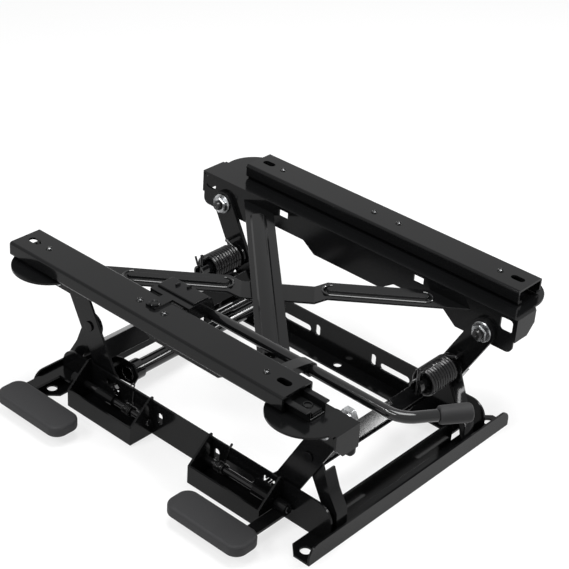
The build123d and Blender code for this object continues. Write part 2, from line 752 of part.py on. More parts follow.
# The left-hand bars have a groove in the outer face and flanges beside the tail
tail_l = TAIL_L - ARM_W / 2
with BuildPart() as crank_front_left:
    add(crank_bar(ARM_LEFT_IN_Y, ARM_LEFT_Y, MANDREL_R, tail_l).part)
    add(slot_cut(ARM_LEFT_Y - ARM_GROOVE, ARM_LEFT_Y).part, mode=Mode.SUBTRACT)
    for edge in (-1, 1):
        with BuildSketch(crank_plane(ARM_LEFT_Y)):
            with Locations((-tail_l / 2, edge * (ARM_W - TAIL_FLANGE_T) / 2)):
                Rectangle(tail_l, TAIL_FLANGE_T)
        extrude(amount=-TAIL_FLANGE)
keep(crank_front_left, "crank_front_left")
with BuildPart() as crank_rear_left:
    mirror(crank_front_left.part, about=Plane.YZ)
keep(crank_rear_left, "crank_rear_left")

# The right-hand bars have a through slot and end in the toothed sector
with BuildPart() as crank_front_right:
    add(crank_bar(-ARM_RIGHT_Y, -ARM_RIGHT_IN_Y, PIN_R, SECTOR_IN_R).part)
    add(slot_cut(-ARM_RIGHT_Y, -ARM_RIGHT_IN_Y).part, mode=Mode.SUBTRACT)
    with BuildSketch(side_plane(-ARM_RIGHT_Y)):
        with BuildLine():
            sector_out = CenterArc((LOW_X, LOW_Z), SECTOR_OUT_R, 270 - SECTOR_A1, SECTOR_A1 - SECTOR_A0)
            sector_in = CenterArc((LOW_X, LOW_Z), SECTOR_IN_R, 270 - SECTOR_A1, SECTOR_A1 - SECTOR_A0)
            Line(sector_out @ 0, sector_in @ 0)
            Line(sector_out @ 1, sector_in @ 1)
        make_face()
    extrude(amount=-ARM_RIGHT_T)
    with BuildSketch(side_plane(-ARM_RIGHT_Y)):
        for gap in range(-1, 6):
            angle = COMB_A - gap * TOOTH_PITCH
            radius = SECTOR_OUT_R - TOOTH_GAP_D / 2 + 1
            place = (
                LOW_X - radius * math.sin(math.radians(angle)),
                LOW_Z - radius * math.cos(math.radians(angle)),
            )
            with Locations(place):
                Rectangle(TOOTH_GAP_D + 2, TOOTH_GAP_W, rotation=90 - angle)
    extrude(amount=-ARM_RIGHT_T, mode=Mode.SUBTRACT)
keep(crank_front_right, "crank_front_right")
with BuildPart() as crank_rear_right:
    mirror(crank_front_right.part, about=Plane.YZ)
keep(crank_rear_right, "crank_rear_right")

# Channel that ties the left and right cranks together below their pivots
with BuildPart() as crank_channel_front:
    with BuildSketch(crank_plane(-ARM_RIGHT_IN_Y)):
        with Locations((-CHANNEL_R, 0)):
            Rectangle(CHANNEL_H, CHANNEL_D)
        with Locations((-CHANNEL_R, -CHANNEL_T)):
            Rectangle(CHANNEL_H - 2 * CHANNEL_T, CHANNEL_D, mode=Mode.SUBTRACT)
    extrude(amount=-(ARM_RIGHT_IN_Y + ARM_LEFT_IN_Y))
keep(crank_channel_front, "crank_channel_front")
with BuildPart() as crank_channel_rear:
    mirror(crank_channel_front.part, about=Plane.YZ)
keep(crank_channel_rear, "crank_channel_rear")


# Top pivots: on the left a short bolt runs in the groove and a flanged nut is fixed on the arm
def pivot_bolts(x):
    """The left and right bolts at one end of the frame."""
    with BuildPart() as piece:
        cylinder_y(x, TOP_Z, TOP_BOLT_TIP_Y, FRAME_LEFT_OUT_Y, TOP_BOLT_R)
        cylinder_y(x, TOP_Z, FRAME_LEFT_OUT_Y, FRAME_LEFT_OUT_Y + TOP_HEAD_H, TOP_HEAD_R)
        cylinder_y(x, TOP_Z, -FRAME_RIGHT_OUT_Y, -TOP_BOLT_END_Y, TOP_BOLT_R)
        cylinder_y(x, TOP_Z, -FRAME_RIGHT_OUT_Y - TOP_HEAD_H, -FRAME_RIGHT_OUT_Y, TOP_HEAD_R)
    return piece


def left_nut(x):
    """Flanged nut with the end of its stud, on the inner face of the left arm."""
    flange_y = ARM_LEFT_IN_Y - WASHER_T
    with BuildPart() as piece:
        cylinder_y(x, TOP_Z, flange_y, ARM_LEFT_IN_Y, WASHER_R)
        with BuildSketch(side_plane(flange_y - NUT_H)):
            with Locations((x, TOP_Z)):
                RegularPolygon(NUT_AF / 2, 6, major_radius=False)
        extrude(amount=-NUT_H)
        cylinder_y(x, TOP_Z, flange_y - NUT_H - STUD_PROUD, flange_y - NUT_H, TOP_BOLT_R)
    return piece


def right_nut(x):
    """Hexagon nut on the long right-hand bolt."""
    with BuildPart() as piece:
        with BuildSketch(side_plane(-TOP_BOLT_END_Y - STUD_PROUD - NUT_H)):
            with Locations((x, TOP_Z)):
                RegularPolygon(NUT_AF / 2, 6, major_radius=False)
                Circle(TOP_BOLT_R, mode=Mode.SUBTRACT)
        extrude(amount=-NUT_H)
    return piece


def right_sleeves(x):
    """Sleeves on the long bolt, between the nut and the arm and between the arm and the side plate."""
    nut_y = TOP_BOLT_END_Y + STUD_PROUD + NUT_H
    with BuildPart() as piece:
        for y0, y1 in (
            (-ARM_RIGHT_IN_Y + BODY_GAP, -nut_y),
            (-FRAME_RIGHT_Y, -ARM_RIGHT_Y - BODY_GAP),
        ):
            with BuildSketch(side_plane(y0)):
                with Locations((x, TOP_Z)):
                    Circle(SLEEVE_R)
                    Circle(TOP_BOLT_R, mode=Mode.SUBTRACT)
            extrude(amount=-(y1 - y0))
    return piece


front_pivot_bolts = pivot_bolts(TOP_X)
keep(front_pivot_bolts, "front_pivot_bolts")
rear_pivot_bolts = pivot_bolts(-TOP_X)
keep(rear_pivot_bolts, "rear_pivot_bolts")
front_left_nut = left_nut(TOP_X)
keep(front_left_nut, "front_left_nut")
rear_left_nut = left_nut(-TOP_X)
keep(rear_left_nut, "rear_left_nut")
front_right_nut = right_nut(TOP_X)
keep(front_right_nut, "front_right_nut")
rear_right_nut = right_nut(-TOP_X)
keep(rear_right_nut, "rear_right_nut")
front_right_sleeves = right_sleeves(TOP_X)
keep(front_right_sleeves, "front_right_sleeves")
rear_right_sleeves = right_sleeves(-TOP_X)
keep(rear_right_sleeves, "rear_right_sleeves")

# Side frame of the upper part: a folded pressing with two round ears
def side_frame(plate_y):
    """Left-hand side frame whose plate stands at plate_y; the ears are centred under the rail."""
    plane, depth = sheet_along_y(plate_y, plate_y + SHEET)
    with BuildPart() as piece:
        with BuildSketch(plane) as plate:
            with BuildLine():
                half = Polyline(
                    (0, FRAME_MID_Z),
                    (RECESS_X0 - RECESS_SLOPE, FRAME_MID_Z),
                    (RECESS_X0, FRAME_RECESS_Z),
                    (RECESS_X1, FRAME_RECESS_Z),
                    (RECESS_X1 + RECESS_SLOPE, FRAME_EAR_Z),
                    (FRAME_END_X, FRAME_EAR_Z),
                    (FRAME_END_X, FRAME_TOP),
                    (0, FRAME_TOP),
                )
                mirror(half, about=Plane.YZ)
            make_face()
            corners = [v for v in plate.vertices() if abs(v.X) > FRAME_END_X - 1 and v.Z < FRAME_TOP - 1]
            fillet(corners, FRAME_CORNER_R)
            for end in (-1, 1):
                with Locations((end * SQUARE_WINDOW_X, SQUARE_WINDOW_Z)):
                    RectangleRounded(SQUARE_WINDOW, SQUARE_WINDOW, 4, mode=Mode.SUBTRACT)
                with Locations((end * SMALL_WINDOW_X, SMALL_WINDOW_Z)):
                    Rectangle(SMALL_WINDOW_L, SMALL_WINDOW_H, mode=Mode.SUBTRACT)
                with Locations((end * TOP_X, TOP_Z)):
                    Circle(TOP_BOLT_R + RUN_CLEAR, mode=Mode.SUBTRACT)
        extrude(amount=depth)
        with BuildSketch(Plane.XY.offset(FRAME_TOP - SHEET)):
            with Locations((0, plate_y + FRAME_TRAY_W / 2)):
                Rectangle(2 * FRAME_END_X, FRAME_TRAY_W)
            with Locations((-EAR_X, RAIL_Y), (EAR_X, RAIL_Y)):
                Circle(EAR_R)
            with Locations((0, plate_y - EAR_R)):
                Rectangle(3 * FRAME_END_X, 2 * EAR_R, mode=Mode.SUBTRACT)
        extrude(amount=SHEET)
        for end in (-1, 1):
            with BuildSketch(Plane.YZ.offset(end * FRAME_END_X)):
                with BuildLine():
                    Polyline(
                        (plate_y, FRAME_TOP),
                        (plate_y + END_FLANGE_W, FRAME_TOP),
                        (plate_y + END_FLANGE_W, END_FLANGE_Z + END_FLANGE_CUT),
                        (plate_y + END_FLANGE_W - END_FLANGE_CUT, END_FLANGE_Z),
                        (plate_y, END_FLANGE_Z),
                        close=True,
                    )
                make_face()
            extrude(amount=end * SHEET)
    return piece


side_frame_left = side_frame(FRAME_LEFT_Y)
keep(side_frame_left, "side_frame_left")
with BuildPart() as side_frame_right:
    mirror(side_frame(FRAME_RIGHT_Y).part, about=Plane.XZ)
keep(side_frame_right, "side_frame_right")


# Diagonal braces: flat strips with a pressed bead
def strip_plane(x0, x1, z):
    """Plane on the brace line from right to left, x along the strip."""
    return Plane(origin=((x0 + x1) / 2, 0, z), x_dir=(x1 - x0, 2 * BRACE_END_Y, 0), z_dir=(0, 0, 1))


def brace(x0, x1, joggle):
    """Strip from the right side frame at x0 to the left one at x1."""
    length = math.hypot(x1 - x0, 2 * BRACE_END_Y)
    turn = math.atan2(2 * BRACE_END_Y, x1 - x0)
    plane = strip_plane(x0, x1, BRACE_Z)
    half_run = BRACE_W / 2 / math.sin(turn) + JOGGLE_RUN
    with BuildPart() as piece:
        side = Plane(origin=plane.origin, x_dir=plane.x_dir, z_dir=plane.x_dir.cross(Vector(0, 0, 1)))
        with BuildSketch(side.offset(-BRACE_W / 2)):
            with BuildLine():
                if joggle:
                    low = Polyline(
                        (-length, 0),
                        (-half_run - JOGGLE_RUN, 0),
                        (-half_run, -joggle),
                        (half_run, -joggle),
                        (half_run + JOGGLE_RUN, 0),
                        (length, 0),
                    )
                else:
                    low = Polyline((-length, 0), (0, 0), (length, 0))
                offset(low, amount=SHEET, side=Side.LEFT)
            make_face()
        extrude(amount=BRACE_W)
        for end in (-1, 1):
            with BuildSketch(plane.offset(SHEET)):
                with Locations((end * length * 0.29, 0)):
                    SlotOverall(length * 0.3, 2 * BRACE_BEAD_R)
            extrude(amount=BRACE_BEAD_H, taper=25)
        with BuildSketch(Plane.XY.offset(BRACE_Z - 2 * JOGGLE)):
            with Locations((0, (FRAME_LEFT_Y - FRAME_RIGHT_Y) / 2)):
                Rectangle(5 * LOW_X, FRAME_LEFT_Y + FRAME_RIGHT_Y)
        extrude(amount=4 * JOGGLE, mode=Mode.INTERSECT)
    return piece


brace_long = brace(LONG_X0, LONG_X1, JOGGLE)
keep(brace_long, "brace_long")
brace_cross = brace(CROSS_X1, CROSS_X0, 0)
keep(brace_cross, "brace_cross")


# Slide rails
def lower_rail(y):
    """Hat section that is fixed on the side frame."""
    with BuildPart() as piece:
        with BuildSketch(Plane.YZ.offset(LOWER_X - LOWER_L / 2)):
            with BuildLine():
                half = Polyline(
                    (y, FRAME_TOP),
                    (y + LOWER_HALF, FRAME_TOP),
                    (y + LOWER_HALF, LOWER_TOP - LOWER_T),
                    (y + LOWER_LIP, LOWER_TOP - LOWER_T),
                    (y + LOWER_LIP, LOWER_TOP),
                    (y + LOWER_HALF - LOWER_T, LOWER_TOP),
                    (y + LOWER_HALF - LOWER_T, FRAME_TOP + LOWER_T),
                    (y, FRAME_TOP + LOWER_T),
                )
                mirror(half, about=Plane.YZ.offset(y))
            make_face()
        extrude(amount=LOWER_L)
    return piece


lower_rail_left = lower_rail(RAIL_Y)
keep(lower_rail_left, "lower_rail_left")

# The inner flange of the right-hand lower rail is notched for the latch
with BuildPart() as lower_rail_right:
    add(lower_rail(-RAIL_Y).part)
    with BuildSketch(Plane.XY.offset(LOWER_TOP - LOWER_T)):
        with Locations((LOWER_X, -RAIL_Y + LOWER_LIP)):
            with GridLocations(LATCH_PITCH, 0, 30, 1):
                Rectangle(LATCH_TOOTH + 0.6, 5)
    extrude(amount=LOWER_T, mode=Mode.SUBTRACT)
keep(lower_rail_right, "lower_rail_right")


def upper_rail(x, y):
    """Inverted channel with rounded edges and inturned lips."""
    half = RAIL_W / 2
    with BuildPart() as piece:
        with BuildSketch(Plane.YZ.offset(x - RAIL_L / 2)) as section:
            with Locations((y, (RAIL_TOP + RAIL_BOTTOM) / 2)):
                RectangleRounded(RAIL_W, RAIL_H, RAIL_R)
                with Locations((0, -RAIL_H / 2)):
                    Rectangle(RAIL_W - 2 * SHEET - 2 * RAIL_LIP, 3 * SHEET, mode=Mode.SUBTRACT)
                RectangleRounded(RAIL_W - 2 * SHEET, RAIL_H - 2 * SHEET, 0.6, mode=Mode.SUBTRACT)
        extrude(amount=RAIL_L)
        with BuildSketch(Plane.XY.offset(RAIL_TOP)):
            with Locations((x - RAIL_SLOT_X, y), (x + RAIL_SLOT_X, y)):
                SlotOverall(RAIL_SLOT_L, RAIL_SLOT_W)
        extrude(amount=-SHEET, mode=Mode.SUBTRACT)
    return piece


upper_rail_left = upper_rail(RAIL_LEFT_X, RAIL_Y)
keep(upper_rail_left, "upper_rail_left")
with BuildPart() as upper_rail_right:
    add(upper_rail(RAIL_RIGHT_X, -RAIL_Y).part)
    with BuildSketch(side_plane(-RAIL_Y + RAIL_W / 2 - SHEET - RAIL_LIP)):
        with Locations((LATCH_X, (RAIL_BOTTOM + LATCH_Z + LATCH_T) / 2)):
            Rectangle(LATCH_PITCH * LATCH_TEETH + 2 * BODY_GAP, LATCH_Z + LATCH_T - RAIL_BOTTOM)
    extrude(amount=-SHEET - RAIL_LIP, mode=Mode.SUBTRACT)
keep(upper_rail_right, "upper_rail_right")


def rail_rivets(x, y):
    """Domed rivet heads along the top of a rail."""
    with BuildPart() as piece:
        for step in RIVET_X:
            with BuildSketch(Plane.XY.offset(RAIL_TOP)):
                with Locations((x + step, y)):
                    Circle(RIVET_R)
            extrude(amount=RIVET_H, taper=30)
    return piece


rail_rivets_left = rail_rivets(RAIL_LEFT_X, RAIL_Y)
keep(rail_rivets_left, "rail_rivets_left")
rail_rivets_right = rail_rivets(RAIL_RIGHT_X, -RAIL_Y)
keep(rail_rivets_right, "rail_rivets_right")


# Rollers between the floor of each lower rail and the roof of its upper rail
with BuildPart() as rail_rollers:
    floor = FRAME_TOP + LOWER_T
    radius = (RAIL_TOP - SHEET - floor) / 2 - ROLLER_CLEAR
    for y in (-RAIL_Y, RAIL_Y):
        for x in ROLLER_X:
            cylinder_y(x, floor + radius, y - ROLLER_W / 2, y + ROLLER_W / 2, radius)
keep(rail_rollers, "rail_rollers")

# Latch cover: a folded bracket with a tab over the rail and two ears for the handle bar
COVER_TOP = RAIL_TOP + SHEET
EAR_LOW_Z = HANDLE_Z - HANDLE_R - 1.2
with BuildPart() as latch_cover:
    with BuildSketch(Plane.XY.offset(RAIL_TOP)):
        with Locations(((COVER_X0 + COVER_X1) / 2, -(RAIL_Y - RAIL_W / 2 + COVER_Y) / 2)):
            Rectangle(COVER_X1 - COVER_X0, RAIL_Y - RAIL_W / 2 - COVER_Y)
        with Locations(((TAB_X0 + TAB_X1) / 2, -(TAB_Y + COVER_Y) / 2)):
            Rectangle(TAB_X1 - TAB_X0, TAB_Y - COVER_Y)
    extrude(amount=SHEET)
    with BuildSketch(Plane.YZ.offset(COVER_X0), Plane.YZ.offset(COVER_X1 - SHEET)):
        with BuildLine():
            Polyline(
                (-COVER_Y, RAIL_TOP),
                (-RAIL_Y + RAIL_W / 2, RAIL_TOP),
                (-RAIL_Y + RAIL_W / 2, FRAME_TOP + 3),
                (-COVER_EAR_Y, FRAME_TOP + 3),
                (-COVER_EAR_Y, EAR_LOW_Z),
                (-COVER_Y, EAR_LOW_Z),
                close=True,
            )
        make_face()
        with Locations((-HANDLE_Y, HANDLE_Z)):
            Circle(HANDLE_R + RUN_CLEAR, mode=Mode.SUBTRACT)
    extrude(amount=SHEET)
keep(latch_cover, "latch_cover")

# Front clip that holds the handle bar to the rail
with BuildPart() as handle_clip:
    with BuildSketch(Plane.YZ.offset(CLIP_X - CLIP_W / 2)):
        with BuildLine():
            Polyline(
                (-RAIL_Y + RAIL_W / 2, RAIL_TOP - 4),
                (-RAIL_Y + RAIL_W / 2, FRAME_TOP + 3),
                (-COVER_EAR_Y, FRAME_TOP + 3),
                (-COVER_EAR_Y, HANDLE_Z),
                (-HANDLE_Y, EAR_LOW_Z),
                (-COVER_Y, HANDLE_Z),
                (-HANDLE_Y, HANDLE_Z + HANDLE_R + 3),
                (-COVER_EAR_Y - 1, RAIL_TOP - 8),
                close=True,
            )
        make_face()
        with Locations((-HANDLE_Y, HANDLE_Z)):
            Circle(HANDLE_R + 1.8)
            Circle(HANDLE_R + RUN_CLEAR, mode=Mode.SUBTRACT)
    extrude(amount=CLIP_W)
keep(handle_clip, "handle_clip")

# Handle bar, its grip and the toothed lock plate that turns with it
GRIP_A = math.atan2(GRIP_DY, GRIP_DX)
GRIP_DIR = Vector(math.cos(GRIP_A), math.sin(GRIP_A), 0)
HANDLE_END = Vector(HANDLE_BEND_X, -HANDLE_Y, HANDLE_Z) + GRIP_DIR * ((HANDLE_Y - GRIP_TIP_Y) / math.sin(GRIP_A))
with BuildPart() as handle_bar:
    with BuildLine() as bar_path:
        FilletPolyline(
            (HANDLE_REAR_X, -HANDLE_Y, HANDLE_Z),
            (HANDLE_BEND_X, -HANDLE_Y, HANDLE_Z),
            HANDLE_END,
            radius=HANDLE_BEND_R,
        )
    with BuildSketch(Plane.YZ.offset(HANDLE_REAR_X)):
        with Locations((-HANDLE_Y, HANDLE_Z)):
            Circle(HANDLE_R)
    sweep()
keep(handle_bar, "handle_bar")

with BuildPart() as handle_grip:
    with BuildSketch(Plane(origin=HANDLE_END - GRIP_DIR * GRIP_L, z_dir=GRIP_DIR)):
        Circle(GRIP_R)
    extrude(amount=GRIP_L + 3)
    fillet(handle_grip.edges().filter_by(GeomType.CIRCLE), 3)
    add(handle_bar.part, mode=Mode.SUBTRACT)
keep(handle_grip, "handle_grip")

with BuildPart() as lock_plate:
    plate_l = LATCH_PITCH * LATCH_TEETH
    with BuildSketch(Plane.YZ.offset(LATCH_X - plate_l / 2)):
        with BuildLine():
            Polyline(
                (-HANDLE_Y - HANDLE_R, HANDLE_Z),
                (-HANDLE_Y, HANDLE_Z + HANDLE_R),
                (-RAIL_Y + RAIL_W / 2 + 3, LATCH_Z),
                (-RAIL_Y + RAIL_W / 2 + 1, LATCH_Z),
                (-RAIL_Y + RAIL_W / 2 + 1, LATCH_Z - LATCH_T),
                (-COVER_EAR_Y - 3, FRAME_TOP + 3),
                close=True,
            )
        make_face()
        with Locations((-HANDLE_Y, HANDLE_Z)):
            Circle(HANDLE_R + SHEET)
            Circle(HANDLE_R, mode=Mode.SUBTRACT)
    extrude(amount=plate_l)
    with BuildSketch(Plane.XY.offset(LATCH_Z - LATCH_T)):
        with Locations((LATCH_X, -(RAIL_Y - RAIL_W / 2 + RAIL_Y - LOWER_LIP - BODY_GAP) / 2 + 0.5)):
            with GridLocations(LATCH_PITCH, 0, LATCH_TEETH, 1):
                Rectangle(LATCH_TOOTH, RAIL_W / 2 - LOWER_LIP - BODY_GAP + 1)
    extrude(amount=LATCH_T)
keep(lock_plate, "lock_plate")

latch_spring = small_coil(
    (COVER_X0 + SHEET + 2, -HANDLE_Y, HANDLE_Z), (1, 0, 0), LATCH_SPRING_R, LATCH_SPRING_WIRE_R, LATCH_SPRING_TURNS
)
keep(latch_spring, "latch_spring")
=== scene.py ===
import json
import math

import bpy
from mathutils import Matrix, Vector

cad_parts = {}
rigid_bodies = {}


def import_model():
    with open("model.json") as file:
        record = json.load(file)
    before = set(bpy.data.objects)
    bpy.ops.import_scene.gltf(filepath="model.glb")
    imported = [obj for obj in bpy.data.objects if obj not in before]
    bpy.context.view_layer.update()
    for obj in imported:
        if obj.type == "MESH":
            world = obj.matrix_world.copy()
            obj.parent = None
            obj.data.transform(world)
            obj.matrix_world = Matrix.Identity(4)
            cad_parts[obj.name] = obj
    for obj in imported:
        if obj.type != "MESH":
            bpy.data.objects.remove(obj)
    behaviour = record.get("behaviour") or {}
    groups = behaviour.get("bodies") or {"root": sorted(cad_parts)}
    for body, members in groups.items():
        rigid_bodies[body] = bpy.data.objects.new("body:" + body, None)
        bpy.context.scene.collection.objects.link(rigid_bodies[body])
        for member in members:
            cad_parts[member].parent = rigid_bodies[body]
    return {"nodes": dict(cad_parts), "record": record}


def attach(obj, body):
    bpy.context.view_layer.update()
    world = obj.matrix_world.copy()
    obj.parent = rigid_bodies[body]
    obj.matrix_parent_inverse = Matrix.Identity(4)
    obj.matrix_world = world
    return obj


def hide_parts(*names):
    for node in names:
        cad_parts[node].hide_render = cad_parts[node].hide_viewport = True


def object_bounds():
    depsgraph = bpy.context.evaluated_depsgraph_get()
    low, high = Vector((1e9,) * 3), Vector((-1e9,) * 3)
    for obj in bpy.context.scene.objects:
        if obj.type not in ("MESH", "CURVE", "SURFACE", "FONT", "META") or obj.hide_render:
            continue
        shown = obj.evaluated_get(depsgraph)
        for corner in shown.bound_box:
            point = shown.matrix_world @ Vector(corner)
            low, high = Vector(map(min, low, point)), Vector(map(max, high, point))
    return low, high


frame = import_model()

CAD_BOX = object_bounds()
NODES = frame["nodes"]
BODIES = frame["record"]["behaviour"]["bodies"]
BODY_OF = {node: body for body, members in BODIES.items() for node in members}
SLOT_OF = {row["node"]: row["material_slot"] for row in frame["record"]["subparts"]}
MM = 0.001

bl_info = {
    "name": "Seat height adjuster",
    "version": (1, 0, 0),
    "blender": (4, 5, 0),
    "location": "3D View > Sidebar > Height adjuster",
    "description": "Finishes a seat height adjuster around its packed frame",
    "category": "Object",
}


# Sizes and colours that a user would change


class CoatSettings(bpy.types.PropertyGroup):
    colour: bpy.props.FloatVectorProperty(
        name="Coat colour", description="Black electro-coat on the pressings", subtype="COLOR",
        size=3, min=0, max=1, default=(0.0036, 0.0037, 0.0039))
    rail_colour: bpy.props.FloatVectorProperty(
        name="Rail colour", description="Black coat on the rolled rails", subtype="COLOR",
        size=3, min=0, max=1, default=(0.0044, 0.0045, 0.0047))
    roughness: bpy.props.FloatProperty(
        name="Roughness", description="How dull the coat is", min=0, max=1, default=0.14)
    edge: bpy.props.FloatProperty(
        name="Edge radius", description="Rounding of the sheared edges", unit="LENGTH",
        min=0, max=0.002, default=0.0008)


class BrightSettings(bpy.types.PropertyGroup):
    zinc: bpy.props.FloatVectorProperty(
        name="Zinc", description="Bright zinc plate on nuts, bolts and pins", subtype="COLOR",
        size=3, min=0, max=1, default=(0.25, 0.255, 0.26))
    spring: bpy.props.FloatVectorProperty(
        name="Spring wire", description="Oil-blackened spring wire", subtype="COLOR",
        size=3, min=0, max=1, default=(0.0040, 0.0040, 0.0042))
    edge: bpy.props.FloatProperty(
        name="Edge radius", description="Rounding on turned parts", unit="LENGTH",
        min=0, max=0.002, default=0.0004)


class MouldedSettings(bpy.types.PropertyGroup):
    pad: bpy.props.FloatVectorProperty(
        name="Pedal pad", description="Matt moulded plastic of the pads", subtype="COLOR",
        size=3, min=0, max=1, default=(0.020, 0.020, 0.021))
    grip: bpy.props.FloatVectorProperty(
        name="Grip", description="Soft grip on the release handle", subtype="COLOR",
        size=3, min=0, max=1, default=(0.014, 0.014, 0.0145))


class StageSettings(bpy.types.PropertyGroup):
    floor_size: bpy.props.FloatProperty(
        name="Floor size", description="Width of the floor", unit="LENGTH", min=1, max=40, default=14.0)
    floor_colour: bpy.props.FloatVectorProperty(
        name="Floor colour", description="Plain pale floor", subtype="COLOR",
        size=3, min=0, max=1, default=(0.93, 0.93, 0.93))
    key_power: bpy.props.FloatProperty(
        name="Overhead lamp", description="Power of the soft lamp overhead, in watts",
        min=0, max=500, default=30.0)
    fill_power: bpy.props.FloatProperty(
        name="Side lamp", description="Power of the soft lamps at the sides, in watts",
        min=0, max=500, default=16.0)
    spot_power: bpy.props.FloatProperty(
        name="Spot lamp", description="Power of the two small lamps that light the edges, in watts",
        min=0, max=100, default=5.0)
    room: bpy.props.FloatProperty(
        name="Room light", description="Strength of the even light from all round",
        min=0, max=2, default=0.30)


# How strongly each finish mirrors, and how much smoother than the frame two of them are

FRAME_SHINE = 0.12
RAIL_SHINE = 0.13
BAR_SHINE = 0.40
WIRE_SHINE = 0.34
PLASTIC_SHINE = 0.22
BAR_SMOOTHER = 0.05
RAIL_SMOOTHER = 0.02
ROLLER_STEEL = (0.5, 0.5, 0.5)


# Shader maths: an expression on values adds its Math nodes


class Value:
    """A number that varies over a surface: an output socket of a shader's node."""

    def __init__(self, shader, socket):
        self.shader = shader
        self.socket = socket

    def _math(self, operation, *values):
        node = self.shader.node("ShaderNodeMath", {"operation": operation}, dict(enumerate(values)))
        return Value(self.shader, node.outputs[0])

    def __add__(self, other):
        return self._math("ADD", self, other)

    def __radd__(self, other):
        return self._math("ADD", other, self)

    def __mul__(self, other):
        return self._math("MULTIPLY", self, other)

    def __rmul__(self, other):
        return self._math("MULTIPLY", other, self)

    def clamp(self):
        node = self.shader.node("ShaderNodeClamp", {}, {"Value": self})
        return Value(self.shader, node.outputs[0])


class Shader:
    """A material's node tree, with the object's own coordinates ready."""

    def __init__(self, name):
        self.material = bpy.data.materials.new(name)
        self.material.use_nodes = True
        self.tree = self.material.node_tree
        self.tree.nodes.clear()
        self.output = self.tree.nodes.new("ShaderNodeOutputMaterial")
        self.place = self.node("ShaderNodeTexCoord", {}, {}).outputs["Object"]

    def node(self, kind, settings, inputs):
        made = self.tree.nodes.new(kind)
        for key, value in settings.items():
            if key == "stops":
                ramp = made.color_ramp
                while len(ramp.elements) < len(value):
                    ramp.elements.new(0.5)
                for element, (position, grey) in zip(ramp.elements, value):
                    element.position = position
                    element.color = (grey, grey, grey, 1)
            else:
                setattr(made, key, value)
        for key, value in inputs.items():
            socket = made.inputs[key]
            if isinstance(value, Value):
                self.tree.links.new(value.socket, socket)
            elif isinstance(value, bpy.types.NodeSocket):
                self.tree.links.new(value, socket)
            else:
                socket.default_value = value
        return made

    def noise(self, scale, detail):
        made = self.node("ShaderNodeTexNoise", {}, {"Vector": self.place, "Scale": scale, "Detail": detail})
        return Value(self, made.outputs[0])

    def cells(self, scale):
        made = self.node("ShaderNodeTexVoronoi", {}, {"Vector": self.place, "Scale": scale})
        return Value(self, made.outputs["Distance"])

    def ramp(self, value, *stops):
        made = self.node("ShaderNodeValToRGB", {"stops": stops}, {"Fac": value})
        return Value(self, made.outputs[0])

    def tint(self, factor, low, high):
        made = self.node("ShaderNodeMix", {"data_type": "RGBA"}, {})
        for socket, value in ((0, factor), (6, (*low, 1)), (7, (*high, 1))):
            if isinstance(value, Value):
                self.tree.links.new(value.socket, made.inputs[socket])
            else:
                made.inputs[socket].default_value = value
        return made.outputs[2]

    def bump(self, height, depth, strength):
        made = self.node("ShaderNodeBump", {}, {"Height": height, "Distance": depth, "Strength": strength})
        return made.outputs[0]

    def finish(self, **inputs):
        surface = self.node("ShaderNodeBsdfPrincipled", {}, {})
        for key, value in inputs.items():
            socket = surface.inputs[key.replace("_", " ")]
            if isinstance(value, Value):
                self.tree.links.new(value.socket, socket)
            elif isinstance(value, bpy.types.NodeSocket):
                self.tree.links.new(value, socket)
            elif isinstance(value, tuple):
                socket.default_value = (*value, 1)
            else:
                socket.default_value = value
        self.tree.links.new(surface.outputs[0], self.output.inputs[0])
        return self.material


def lighter(colour, factor):
    """The colour times a factor, which darkens it below 1."""
    return tuple(min(1.0, channel * factor) for channel in colour)


def coated_steel(name, colour, roughness, specular):
    """Electro-coat: faint orange peel, thin cloudy patches and a few dust specks."""
    shader = Shader(name)
    cloud = shader.noise(9.0, 4.0)
    peel = shader.noise(900.0, 2.0)
    ripple = shader.noise(160.0, 2.0)
    speck = shader.ramp(shader.cells(260.0), (0.0, 1.0), (0.05, 0.0))
    sparse = shader.ramp(shader.noise(38.0, 1.0), (0.60, 0.0), (0.66, 1.0))
    dust = speck * sparse
    spread = (cloud * 0.7 + dust * 0.9).clamp()
    return shader.finish(
        Base_Color=shader.tint(spread, lighter(colour, 0.78), lighter(colour, 1.35)),
        Roughness=(cloud * 0.12 + peel * 0.04 + (roughness - 0.08)).clamp(),
        Specular_IOR_Level=specular,
        Normal=shader.bump(peel * 0.25 + ripple * 0.75, 0.00006, 0.35),
    )


def zinc_plate(name, colour):
    """Bright zinc: fine turning lines and a slightly cloudy passivate."""
    shader = Shader(name)
    cloud = shader.noise(120.0, 3.0)
    grain = shader.noise(1500.0, 2.0)
    patches = shader.ramp(cloud, (0.38, 0.0), (0.62, 1.0))
    return shader.finish(
        Base_Color=shader.tint(patches, lighter(colour, 0.45), lighter(colour, 1.7)),
        Metallic=1.0,
        Roughness=(cloud * 0.22 + grain * 0.08 + 0.10).clamp(),
        Normal=shader.bump(grain, 0.00004, 0.5),
    )


def spring_wire(name, colour):
    """Hard-drawn wire: gloss with fine draw marks."""
    shader = Shader(name)
    cloud = shader.noise(60.0, 3.0)
    grain = shader.noise(1400.0, 2.0)
    return shader.finish(
        Base_Color=shader.tint(cloud, lighter(colour, 0.7), lighter(colour, 1.6)),
        Roughness=(cloud * 0.08 + grain * 0.04 + 0.06).clamp(),
        Specular_IOR_Level=WIRE_SHINE,
        Normal=shader.bump(grain, 0.00004, 0.4),
    )


